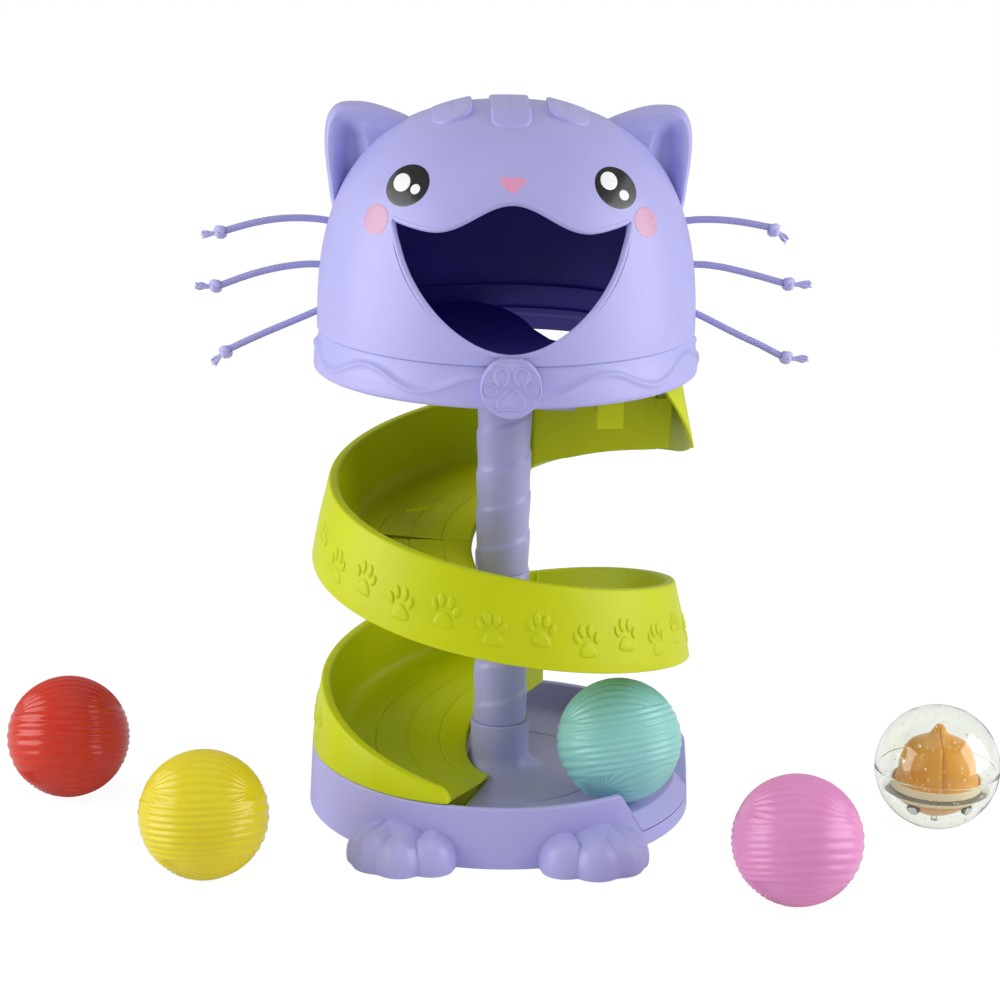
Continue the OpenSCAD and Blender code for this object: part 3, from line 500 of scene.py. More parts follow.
@dataclass(frozen=True)
class PadPrint:
    """Pad-printed ink on the plastic.

    The eye sees a dense flat colour with the faint unevenness of the pad and a low gloss. With a fade
    line, the colour goes from one to the other along a line across the mark.
    """

    name: str
    colour: str
    second: str
    roughness: float = 0.3
    gloss_change: float = 0.05
    ior: float = 1.48
    blot_mm: float = 1.4
    gloss_mm: float = 3.0
    fade_line: tuple[float, float, float, float] | None = None

    def build(self) -> bpy.types.Material:
        """Makes the material and returns it."""
        material, tree = blank_material(self.name)
        coords = add_node(tree, "ShaderNodeTexCoord").outputs
        place = {"Vector": coords["Object"]}
        if self.fade_line:
            across, up, low, high = self.fade_line
            mark = add_node(tree, "ShaderNodeSeparateXYZ", {0: coords["UV"]}).outputs
            side = add_node(tree, "ShaderNodeMath", {0: mark[0], 1: across}, operation="MULTIPLY")
            rise = add_node(tree, "ShaderNodeMath", {0: mark[1], 1: up, 2: side}, operation="MULTIPLY_ADD")
            blot = add_node(tree, "ShaderNodeMapRange", {"Value": rise, "From Min": low, "From Max": high})
        else:
            press = add_node(tree, "ShaderNodeTexNoise", {**place, "Scale": per_metre(self.blot_mm)})
            blot = add_node(tree, "ShaderNodeMapRange", {"Value": press, **MIDDLE, "To Max": 0.5})
        tint = add_node(tree, "ShaderNodeMix", {
            "Factor": blot, "A": linear(self.colour), "B": linear(self.second)}, data_type="RGBA")
        rub = add_node(tree, "ShaderNodeTexNoise", {**place, "Scale": per_metre(self.gloss_mm)})
        gloss = add_node(tree, "ShaderNodeMapRange", {
            "Value": rub, **MIDDLE, "To Min": self.roughness - self.gloss_change,
            "To Max": self.roughness + self.gloss_change})
        shader = add_node(tree, "ShaderNodeBsdfPrincipled", {
            "Base Color": tint, "Roughness": gloss, "IOR": self.ior})
        add_node(tree, "ShaderNodeOutputMaterial", {"Surface": shader})
        return material


@dataclass(frozen=True)
class BraidedPolyester:
    """Braided polyester cord.

    The eye sees short slanted stitches of many filaments with a silky sheen along each one; the
    colour is painted darker in the valleys between them as painted shade.
    """

    name: str
    colour: str
    # deep: painted shade, the colour of the valleys between the stitches.
    deep: str
    filament_mm: float = 0.5  # a real filament is near 0.02 mm; drawn as the bundles that show
    filament_depth_mm: float = 0.08
    roughness: float = 0.6

    def build(self) -> bpy.types.Material:
        """Makes the material and returns it."""
        material, tree = blank_material(self.name)
        coords = add_node(tree, "ShaderNodeTexCoord").outputs
        fibres = add_node(tree, "ShaderNodeTexNoise", {
            "Vector": coords["Object"], "Scale": per_metre(self.filament_mm), "Detail": 3.0})
        fleck = add_node(tree, "ShaderNodeMapRange", {"Value": fibres, **MIDDLE, "To Max": 0.3})
        # Painted shade: the colour goes towards deep with the depth below the stitch tops, kept in the UV marks.
        depth = add_node(tree, "ShaderNodeSeparateXYZ", {0: coords["UV"]})
        share = add_node(tree, "ShaderNodeMath", {0: fleck, 1: depth}, operation="ADD", use_clamp=True)
        tint = add_node(tree, "ShaderNodeMix", {
            "Factor": share, "A": linear(self.colour), "B": linear(self.deep)}, data_type="RGBA")
        bump = add_node(tree, "ShaderNodeBump", {
            "Height": fibres, "Distance": self.filament_depth_mm * MM, "Strength": 0.7})
        shader = add_node(tree, "ShaderNodeBsdfPrincipled", {
            "Base Color": tint, "Roughness": self.roughness, "Sheen Weight": 0.35, "Sheen Roughness": 0.4,
            "Normal": bump})
        add_node(tree, "ShaderNodeOutputMaterial", {"Surface": shader})
        return material


@dataclass(frozen=True)
class PlatedSteel:
    """Zinc-plated steel screws.

    The eye sees a bright cool metal with the fine turning lines of the head.
    """

    name: str
    colour: str
    roughness: float = 0.32
    rub_mm: float = 0.6
    rub_depth_mm: float = 0.02

    def build(self) -> bpy.types.Material:
        """Makes the material and returns it."""
        material, tree = blank_material(self.name)
        place = {"Vector": add_node(tree, "ShaderNodeTexCoord").outputs["Object"]}
        rub = add_node(tree, "ShaderNodeTexNoise", {**place, "Scale": per_metre(self.rub_mm), "Detail": 3.0})
        bump = add_node(tree, "ShaderNodeBump", {"Height": rub, "Distance": self.rub_depth_mm * MM,
                                                 "Strength": 0.5})
        gloss = add_node(tree, "ShaderNodeMapRange", {
            "Value": rub, **MIDDLE, "To Min": self.roughness - 0.08, "To Max": self.roughness + 0.1})
        shader = add_node(tree, "ShaderNodeBsdfPrincipled", {
            "Base Color": linear(self.colour), "Metallic": 1.0, "Roughness": gloss, "Normal": bump})
        add_node(tree, "ShaderNodeOutputMaterial", {"Surface": shader})
        return material


class Slot(Enum):
    """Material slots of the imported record."""

    LAVENDER = "lavender_plastic"
    LIME = "lime_plastic"
    # Indigo is painted shade: the lavender plastic inside the head, coloured dark where little light reaches.
    INDIGO = "indigo_plastic"
    STEEL = "steel"
    BLACK_INK = "black_ink"
    WHITE_INK = "white_ink"
    PINK_INK = "pink_ink"
    CHEEK_INK = "cheek_ink"
    CORD = "cord"
    RED = "red_plastic"
    YELLOW = "yellow_plastic"
    TEAL = "teal_plastic"
    PINK = "pink_plastic"
    CLEAR = "clear_plastic"
    ORANGE = "orange_plastic"
    CREAM = "cream_plastic"


RECIPES = {
    Slot.LAVENDER: MouldedPlastic("moulded_polypropylene_lavender", "#B3B1EA", "#AFADE6"),
    Slot.LIME: MouldedPlastic("moulded_polypropylene_lime", "#C8D200", "#C3CD00", roughness=0.4, shine=0.28),
    # Painted shade, not a plastic of its own: the lavender inside the head drawn as a dark indigo.
    Slot.INDIGO: MouldedPlastic("moulded_abs_indigo", "#625CC8", "#5B56BD", roughness=0.8, shine=0.3),
    Slot.RED: MouldedPlastic("moulded_abs_red", "#CE3018", "#C72A14", roughness=0.2, edge_mm=0.2),
    Slot.YELLOW: MouldedPlastic("moulded_abs_yellow", "#E6D41C", "#E0CC16", roughness=0.22, edge_mm=0.2),
    Slot.TEAL: MouldedPlastic("moulded_abs_teal", "#94D6D2", "#8ED0CC", roughness=0.22, edge_mm=0.2),
    Slot.PINK: MouldedPlastic("moulded_abs_pink", "#E592C8", "#E08CC3", roughness=0.22, edge_mm=0.2),
    Slot.CREAM: MouldedPlastic("moulded_abs_cream", "#F6E2C4", "#F2DCBA", roughness=0.42, edge_mm=0.3),
    Slot.ORANGE: GlitterPlastic("moulded_polystyrene_orange_glitter", "#F0A400", "#E89A00", "#F8E2A0"),
    Slot.CLEAR: ClearPlastic("moulded_polystyrene_clear", "#F6F8F3"),
    # The black eyes go from black to a lighter grey towards their lower outer side.
    Slot.BLACK_INK: PadPrint("pad_printed_ink_black", "#121213", "#4A4A4B",
                             fade_line=(0.77, 0.64, 0.0, -0.3)),
    Slot.WHITE_INK: PadPrint("pad_printed_ink_white", "#F8F8F8", "#F2F2F2"),
    Slot.PINK_INK: PadPrint("pad_printed_ink_pink", "#E59ABF", "#E294BA"),
    Slot.CHEEK_INK: PadPrint("pad_printed_ink_cheek", "#D2A0C0", "#CF9DBD"),
    # The cord's second colour is painted shade in the valleys of the braid.
    Slot.CORD: BraidedPolyester("braided_polyester_lavender", "#C6C4F4", "#7878C0"),
    Slot.STEEL: PlatedSteel("zinc_plated_steel", "#C4C8CC"),
}


@dataclass
class PaintShop:
    """Mixes each finish once and puts it on pieces."""

    mixed: dict[Slot, bpy.types.Material] = field(default_factory=dict)

    def finish(self, slot: Slot) -> bpy.types.Material:
        """Gives the material of a slot, mixed on first use.

        Args:
            slot: the record's material slot.

        Returns:
            The material.
        """
        if slot not in self.mixed:
            self.mixed[slot] = RECIPES[slot].build()
        return self.mixed[slot]

    def dress_node(self, node: str, slot: Slot) -> None:
        """Gives a CAD node that stays in view its finish.

        Args:
            node: the node's name.
            slot: the finish.
        """
        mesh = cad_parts[node].data
        mesh.materials.clear()
        mesh.materials.append(self.finish(slot))


SHOP = PaintShop()


def add_piece(name: str, mesh_parts: Mesh, slot: Slot, body: str = "tower",
              replaces: Sequence[str] = (), second: tuple[Slot, Callable[[Points], Points]] | None = None,
              crease: float = 38.0, marks: Points | None = None) -> bpy.types.Object:
    """Turns points and faces into a dressed piece that rides on a body.

    Args:
        name: the piece's name.
        mesh_parts: points in millimetres and faces.
        slot: the finish.
        body: the body that carries the piece.
        replaces: CAD nodes that it stands for.
        second: another finish, and the test of face centres that it goes on.
        crease: angle in degrees above which an edge stays sharp.
        marks: a pair of numbers for each point, kept as its UV place.

    Returns:
        The object.
    """
    mesh = new_mesh(name, mesh_parts)
    mesh.validate()
    if marks is not None:
        layer = mesh.uv_layers.new(name="marks")
        corners = np.zeros(len(mesh.loops), np.int32)
        mesh.loops.foreach_get("vertex_index", corners)
        layer.data.foreach_set("uv", marks[corners].astype(np.float32).ravel())
    work = bmesh.new()
    work.from_mesh(mesh)
    bmesh.ops.remove_doubles(work, verts=work.verts, dist=1e-7)
    bmesh.ops.recalc_face_normals(work, faces=work.faces)
    work.to_mesh(mesh)
    work.free()
    mesh.materials.append(SHOP.finish(slot))
    piece = add_object(name, mesh)
    if second:
        mesh.materials.append(SHOP.finish(second[0]))
    settle(piece, second[1] if second else None, crease)
    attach(piece, body)
    if replaces:
        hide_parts(*replaces)
    return piece


def add_object(name: str, data: bpy.types.ID) -> bpy.types.Object:
    """Adds an object to the scene.

    Args:
        name: the object's name.
        data: the mesh, camera or lamp that it shows.

    Returns:
        The object.
    """
    made = bpy.data.objects.new(name, data)
    bpy.context.scene.collection.objects.link(made)
    return made


def new_mesh(name: str, parts: Mesh) -> bpy.types.Mesh:
    """Makes a Blender mesh in metres.

    Args:
        name: the mesh's name.
        parts: points in millimetres and faces.

    Returns:
        The mesh.
    """
    mesh = bpy.data.meshes.new(name)
    mesh.from_pydata((parts[0] * MM).tolist(), [], parts[1])
    return mesh


def settle(piece: bpy.types.Object, test: Callable[[Points], Points] | None, crease: float) -> None:
    """Gives a mesh its smooth shading and its second finish.

    Args:
        piece: the object.
        test: picks the faces of the second finish by their centres in millimetres.
        crease: angle in degrees above which an edge stays sharp.
    """
    mesh = piece.data
    mesh.polygons.foreach_set("use_smooth", np.ones(len(mesh.polygons), bool))
    mesh.set_sharp_from_angle(angle=math.radians(crease))
    if test is not None:
        centres = np.zeros(3 * len(mesh.polygons), np.float32)
        mesh.polygons.foreach_get("center", centres)
        mesh.polygons.foreach_set("material_index", test(centres.reshape(-1, 3) / MM).astype(np.int32))
    mesh.update()


def carve(piece: bpy.types.Object, cutters: Sequence[Mesh],
          test: Callable[[Points], Points] | None = None, crease: float = 38.0) -> None:
    """Cuts closed bodies out of a piece.

    Args:
        piece: the object to cut.
        cutters: points in millimetres and faces of each body.
        test: picks the faces of the second finish again after the cut.
        crease: angle in degrees above which an edge stays sharp.
    """
    mesh = new_mesh("cutter", joined(cutters))
    work = bmesh.new()
    work.from_mesh(mesh)
    bmesh.ops.recalc_face_normals(work, faces=work.faces)
    work.to_mesh(mesh)
    work.free()
    cutter = add_object("cutter", mesh)
    step = piece.modifiers.new("cut", "BOOLEAN")
    step.object, step.operation, step.solver = cutter, "DIFFERENCE", "EXACT"
    done = bpy.data.meshes.new_from_object(piece.evaluated_get(bpy.context.evaluated_depsgraph_get()))
    piece.modifiers.clear()
    done.name = piece.name
    piece.data = done
    bpy.data.objects.remove(cutter)
    settle(piece, test, crease)


def prism(outline: Points, start: float, end: float, axis: str) -> Mesh:
    """Straight prism over a flat outline.

    Args:
        outline: x and z of the outline for a prism along Y, or x and y for one along Z.
        start: where the prism starts.
        end: where it ends.
        axis: "Y" or "Z".

    Returns:
        The points and the faces.
    """
    rings = []
    for level in (start, end):
        flat = np.full((len(outline), 1), level)
        ring = np.concatenate([outline, flat], 1)
        rings.append(ring[:, [0, 2, 1]] if axis == "Y" else ring)
    return sweep(rings)


# ---------------------------------------------------------------------------------------------
# Camera and studio
# ---------------------------------------------------------------------------------------------

@dataclass(frozen=True)
class PhotoCamera:
    """Camera at the photograph's place: a long lens, a little above, held with a slight roll."""

    place: tuple[float, float, float] = (-1.81, -1403.07, 564.65)
    pitch: float = 15.465
    roll: float = 0.9
    lens: float = 93.6
    sensor: float = 36.0

    def build(self) -> None:
        """Makes the camera and sets it as the scene's own."""
        data = bpy.data.cameras.new("photo_camera")
        data.lens, data.sensor_width = self.lens, self.sensor
        data.clip_start, data.clip_end = 0.05, 100.0
        camera = add_object("photo_camera", data)
        p, r = math.radians(self.pitch), math.radians(self.roll)
        ahead = Vector((0, math.cos(p), -math.sin(p)))
        level, rise = Vector((1, 0, 0)), Vector((0, math.sin(p), math.cos(p)))
        right = math.cos(r) * level + math.sin(r) * rise
        up = -math.sin(r) * level + math.cos(r) * rise
        turn = Matrix((right, up, -ahead)).transposed()
        camera.matrix_world = Matrix.Translation(Vector(self.place) * MM) @ turn.to_4x4()
        bpy.context.scene.camera = camera


@dataclass(frozen=True)
class SoftBox:
    """A large soft lamp."""

    name: str
    place: tuple[float, float, float]
    aim: tuple[float, float, float]
    size: tuple[float, float]
    power: float

    def build(self) -> None:
        """Makes the lamp, aimed at its point."""
        data = bpy.data.lights.new(self.name, "AREA")
        data.shape, data.size, data.size_y, data.energy = "RECTANGLE", self.size[0], self.size[1], self.power
        lamp = add_object(self.name, data)
        aim = Vector(self.aim) - Vector(self.place)
        lamp.matrix_world = Matrix.Translation(self.place) @ aim.to_track_quat("-Z", "Y").to_matrix().to_4x4()


@dataclass
class Studio:
    """White product studio: a pale floor that keeps a faint shadow, two side boxes and a weak top."""

    floor_half_m: float = 30.0
    floor_glow: float = 0.93
    tooth_mm: float = 2.0
    tooth_depth_mm: float = 0.02
    ambient: float = 0.46
    boxes: tuple[SoftBox, ...] = (
        SoftBox("box_left", (-1.45, -0.3, 0.5), (0.0, 0.0, 0.22), (1.3, 1.4), 18.5),
        SoftBox("box_right", (1.45, -0.28, 0.5), (0.0, 0.0, 0.22), (1.3, 1.4), 17.5),
        SoftBox("box_top", (0.0, -0.6, 1.9), (0.0, 0.0, 0.2), (1.6, 1.2), 3.0),
    )

    def build(self) -> None:
        """Sets the world, the floor and the lamps."""
        bpy.context.scene.view_settings.view_transform = "Standard"
        self.sky()
        self.floor()
        for box in self.boxes:
            box.build()

    @staticmethod
    def seen(tree: bpy.types.NodeTree) -> bpy.types.Node:
        """Share of a ray that should find the white background.

        Args:
            tree: a material's or the world's node tree.

        Returns:
            The node that gives one for camera and transmission rays.
        """
        ray = add_node(tree, "ShaderNodeLightPath").outputs
        return add_node(tree, "ShaderNodeMath", {0: ray["Is Camera Ray"], 1: ray["Is Transmission Ray"]},
                        operation="MAXIMUM")

    def sky(self) -> None:
        """White to the eye, dimmer as a source of light."""
        world = bpy.data.worlds.new("studio_white")
        bpy.context.scene.world = world
        world.use_nodes = True
        tree = world.node_tree
        tree.nodes.clear()
        dim = add_node(tree, "ShaderNodeBackground", {"Color": linear("#FFFFFF"), "Strength": self.ambient})
        white = add_node(tree, "ShaderNodeBackground", {"Color": linear("#FFFFFF"), "Strength": 1.0})
        mixed = add_node(tree, "ShaderNodeMixShader", {0: self.seen(tree), 1: dim, 2: white})
        add_node(tree, "ShaderNodeOutputWorld", {"Surface": mixed})

    def floor(self) -> None:
        """Matt white card that stays white under the lamps and keeps the contact shadow."""
        half = self.floor_half_m
        mesh = bpy.data.meshes.new("studio_floor")
        mesh.from_pydata([(-half, -half, 0), (half, -half, 0), (half, half, 0), (-half, half, 0)], [],
                         [(0, 1, 2, 3)])
        material, tree = blank_material("matt_white_card")
        coords = add_node(tree, "ShaderNodeTexCoord").outputs["Object"]
        paper = add_node(tree, "ShaderNodeTexNoise", {"Vector": coords, "Scale": per_metre(self.tooth_mm)})
        tooth = add_node(tree, "ShaderNodeBump", {"Height": paper, "Distance": self.tooth_depth_mm * MM})
        plain = add_node(tree, "ShaderNodeBsdfDiffuse", {"Color": linear("#EDEDED"), "Normal": tooth})
        faint = add_node(tree, "ShaderNodeBsdfDiffuse", {"Color": linear("#6E6E6E"), "Normal": tooth})
        white = add_node(tree, "ShaderNodeEmission",
                         {"Color": linear("#FFFFFF"), "Strength": self.floor_glow})
        lit = add_node(tree, "ShaderNodeAddShader", {0: faint, 1: white})
        mixed = add_node(tree, "ShaderNodeMixShader", {0: self.seen(tree), 1: plain, 2: lit})
        add_node(tree, "ShaderNodeOutputMaterial", {"Surface": mixed})
        mesh.materials.append(material)
        card = add_object("studio_floor", mesh)


# ---------------------------------------------------------------------------------------------
# Shape of the head, which whiskers, prints and ears follow
# ---------------------------------------------------------------------------------------------

@dataclass(frozen=True)
class HeadForm:
    """The dome as a flattened egg on its foot circle, turned a little on the post."""

    radius: float = 103.7
    height: float = 123.3
    seam_z: float = 275.5
    power: float = 2.56
    wall: float = 3.2
    yaw: float = 1.6

    def outline(self, grow: float, steps: int) -> Points:
        """Radius and height of the dome from its foot to its top.

        Args:
            grow: how far outside the dome the outline lies.
            steps: parts of the outline.

        Returns:
            The points.
        """
        t = np.radians(90 * (np.linspace(0, 1, steps + 1)))
        r = (self.radius + grow) * np.cos(t).clip(0) ** (2 / self.power)
        z = self.seam_z + (self.height + grow) * np.sin(t) ** (2 / self.power)
        r[-1] = 0.0
        return np.stack([r, z], 1)

    def front(self, places: Points, grow: float | Points) -> Points:
        """Throws points of the face plane back onto the front of the dome.

        Args:
            places: x and height above the dome's foot.
            grow: how far outside the dome they land.

        Returns:
            The points in space, head not yet turned.
        """
        x, up = places[:, 0], places[:, 1]
        r = (self.radius + grow) * (1 - np.clip(up / (self.height + grow), 0, 1) ** self.power) ** (1 / self.power)
        return np.stack([x, -np.sqrt(np.maximum(r * r - x * x, 0)), self.seam_z + up], 1)

    def top(self, places: Points, grow: float | Points) -> Points:
        """Throws points of the plan up onto the dome.

        Args:
            places: x and y.
            grow: how far outside the dome they land.

        Returns:
            The points in space, head not yet turned.
        """
        r = np.hypot(places[:, 0], places[:, 1]) / (self.radius + grow)
        up = (self.height + grow) * (1 - np.clip(r, 0, 1) ** self.power) ** (1 / self.power)
        return np.stack([places[:, 0], places[:, 1], self.seam_z + up], 1)


FORM = HeadForm()


def on_head(parts: Mesh) -> Mesh:
    """Mesh turned with the head."""
    return spun(parts[0], FORM.yaw), parts[1]


# ---------------------------------------------------------------------------------------------
# Whiskers
# ---------------------------------------------------------------------------------------------

@dataclass
class Whisker:
    """Braided cord through a hole in the dome, knotted at both ends and frayed at the outer one."""

    name: str
    side: int
    route: tuple[tuple[float, float], ...]
    y: float = 6.0
    diameter: float = 4.0
    stitch: float = 2.6
    strands: int = 7
    braid_depth: float = 0.14
    sides: int = 36
    knot_reach: float = 2.1
    stop_reach: float = 1.7
    stop_in: float = 0.6

    def place(self, points: Points) -> Points:
        """Mirrors points of the right side for the left and turns them with the head."""
        flipped = points * np.array([self.side, 1, 1])
        return spun(flipped, FORM.yaw)

    def line(self) -> Points:
        """Middle line of the cord from the dome's wall to the outer knot."""
        ends = [(s, self.y, z) for s, z in self.route[3:10]]
        return smooth_line(ends, 0.3)

    def braid(self, run: Points, angle: Points) -> Points:
        """Radius of the braid: two sets of slanted stitches that pass over each other.

        Args:
            run: length so far.
            angle: angle round the cord.

        Returns:
            The radius.
        """
        turn = self.strands * angle / 2
        along = 2 * math.pi * run / self.stitch
        one, two = np.cos(turn - along / 2), np.cos(turn + along / 2)
        return self.diameter / 2 * (1 - self.braid_depth * (1 - self.stitches(one, two)))

    @staticmethod
    def stitches(one: Points, two: Points) -> Points:
        """Height of the braid, from nought in the valleys to one on top of a stitch."""
        return np.clip(np.maximum(np.abs(one), np.abs(two)) ** 2.5 - 0.25 * np.abs(one * two), 0, 1)

    def valley_shade_marks(self, line: Points) -> Points:
        """Depth of each point of the cord below the top of its stitches, as a mark for the painted shade in the
        valleys.

        Args:
            line: middle line of the cord.

        Returns:
            One row of two numbers for each point.
        """
        run = run_along(line)[:, None]
        angle = np.linspace(0, 2 * math.pi, self.sides, endpoint=False)[None, :]
        low = ((1 - self.braid(run, angle) / (self.diameter / 2)) / self.braid_depth).ravel()
        return np.stack([low, 0 * low], 1)

    def knot(self, centre: Points, along: Points, reach: float) -> Mesh:
        """Overhand knot: a trefoil of the same cord pulled tight.

        Args:
            centre: middle of the knot.
            along: direction of the cord through it.
            reach: radius of the knot.

        Returns:
            The points and the faces.
        """
        t = np.linspace(0, 2 * math.pi, 150, endpoint=False)
        loop = np.stack([np.sin(3 * t) * 0.62, (np.sin(t) + 2 * np.sin(2 * t)) / 3.0,
                         (np.cos(t) - 2 * np.cos(2 * t)) / 3.0], 1)
        thick = reach * 0.46
        axis = unit(along)
        rise = unit(np.cross(axis, [0.0, 1.0, 0.0]))
        basis = np.stack([axis * 0.95, rise, np.cross(axis, rise)])
        path = centre + (loop * (reach - thick)) @ basis

        def weave(run: Points, angle: Points) -> Points:
            """Stitches of the pulled cord."""
            wave = np.maximum(np.abs(np.cos(2 * angle - run * 1.6)), np.abs(np.cos(2 * angle + run * 1.6)))
            return thick * (0.9 + 0.1 * wave)

        return tube(path, weave, 14, closed=True)

    def tail(self, start: Points, along: Points, length: float, seed: int) -> Mesh:
        """Frayed end: flat tufts of filaments that fan out a little.

        Args:
            start: where the tufts leave the knot.
            along: the way that they point.
            length: how long they are.
            seed: number that fixes their scatter.

        Returns:
            The points and the faces.
        """
        scatter = np.random.default_rng(seed)
        axis = unit(along)
        rise = unit(np.cross(axis, [0.0, 1.0, 0.0]))
        depth = np.cross(axis, rise)
        parts = []
        for i in range(16):
            turn = 2 * math.pi * i / 16 + scatter.uniform(-0.2, 0.2)
            out = rise * math.cos(turn) + depth * math.sin(turn)
            ring = 0.5 + 0.5 * (i % 3) / 2
            reach = length * scatter.uniform(0.78, 1.0)
            path = [start + out * 0.5 * ring, start + axis * reach * 0.35 + out * 1.0 * ring,
                    start + axis * reach * 0.7 + out * (1.9 * ring) + rise * scatter.uniform(-0.3, 0.3),
                    start + axis * reach + out * (2.0 * ring) + rise * scatter.uniform(-0.6, 0.6)]
            parts.append(tube(smooth_line(path, 0.9), lambda run, angle, k=reach: 0.62
                              * (1 - 0.45 * smooth((run - k * 0.6) / (k * 0.4))) * (1 + 0.1 * np.cos(3 * angle)), 7))
        return joined(parts)

    def at(self, *numbers: int) -> Points:
        """Middle of some points of the route, by their numbers."""
        return np.array([(self.route[n][0], self.y, self.route[n][1]) for n in numbers], float).mean(0)

    def build(self) -> None:
        line = self.line()
        placed = self.place(line)
        points, faces = tube(line, self.braid, self.sides)
        # The marks carry the painted shade of the braid's valleys.
        cord = add_piece(self.name, (self.place(points), faces), Slot.CORD, replaces=[self.name], crease=180,
                         marks=self.valley_shade_marks(line))
        out, half = line[-1] - line[-6], self.diameter / 2
        tail = self.at(12) - self.at(10)
        seed = 7 + len(self.name) + int(self.route[0][1])
        ends = (("_knot", self.knot(self.at(9, 10), out, half * self.knot_reach), 180.0),
                ("_tail", self.tail(self.at(10), tail, float(np.linalg.norm(tail)), seed), 60.0),
                ("_stop_knot", self.knot(self.at(1, 2) - [self.stop_in, 0, 0], out, half * self.stop_reach),
                 180.0))
        extras = [add_piece(self.name + tag, (self.place(points), faces), Slot.CORD, crease=crease)
                  for tag, (points, faces), crease in ends]


WHISKERS = (
    Whisker("whisker_left_top", -1, (
        (88, 331), (89, 331), (92.5, 331.5), (94, 331.5), (104, 333), (116, 333.4), (128, 332.4), (140, 330),
        (152, 326.5), (153.5, 326), (159.5, 324.5), (161, 324.4), (167, 323.6))),
    Whisker("whisker_left_middle", -1, (
        (93, 307.5), (94, 307.5), (97, 307.8), (98.5, 307.8), (109, 308), (121, 306.6), (133, 304),
        (144, 300.6), (155, 296.4), (156.5, 296), (162.5, 294.8), (164, 294.8), (171, 295.6))),
    Whisker("whisker_left_bottom", -1, (
        (94, 285.6), (95, 285.3), (98.2, 284.5), (99.8, 284.1), (110, 279.4), (121, 274.6), (132, 269.8),
        (142, 265.2), (150.5, 261), (152, 260.2), (156.8, 257), (158, 256), (162, 251.6))),
    Whisker("whisker_right_top", 1, (
        (88, 333), (89, 333), (92, 333.4), (93.6, 333.5), (103, 334.8), (112, 335), (121, 334.6),
        (131, 333.4), (142, 331.4), (143.5, 331), (148.6, 328.4), (149.8, 327.6), (154, 323.6))),
    Whisker("whisker_right_middle", 1, (
        (93, 309.5), (94, 309.5), (96.8, 309.8), (98.2, 309.8), (108, 310), (119, 308.6), (130, 306.2),
        (141, 303.4), (151, 300.6), (152.5, 300.2), (158.5, 299.4), (160, 299.4), (169, 299.6))),
    Whisker("whisker_right_bottom", 1, (
        (94, 286.9), (95, 286.6), (98.2, 285.6), (99.8, 285.1), (109, 280.8), (119, 275.8), (130, 270.4),
        (141, 265.4), (151.5, 260), (153, 259.3), (159, 257.6), (160.5, 257.6), (168.5, 258))),
)


# ---------------------------------------------------------------------------------------------
# Base
# ---------------------------------------------------------------------------------------------

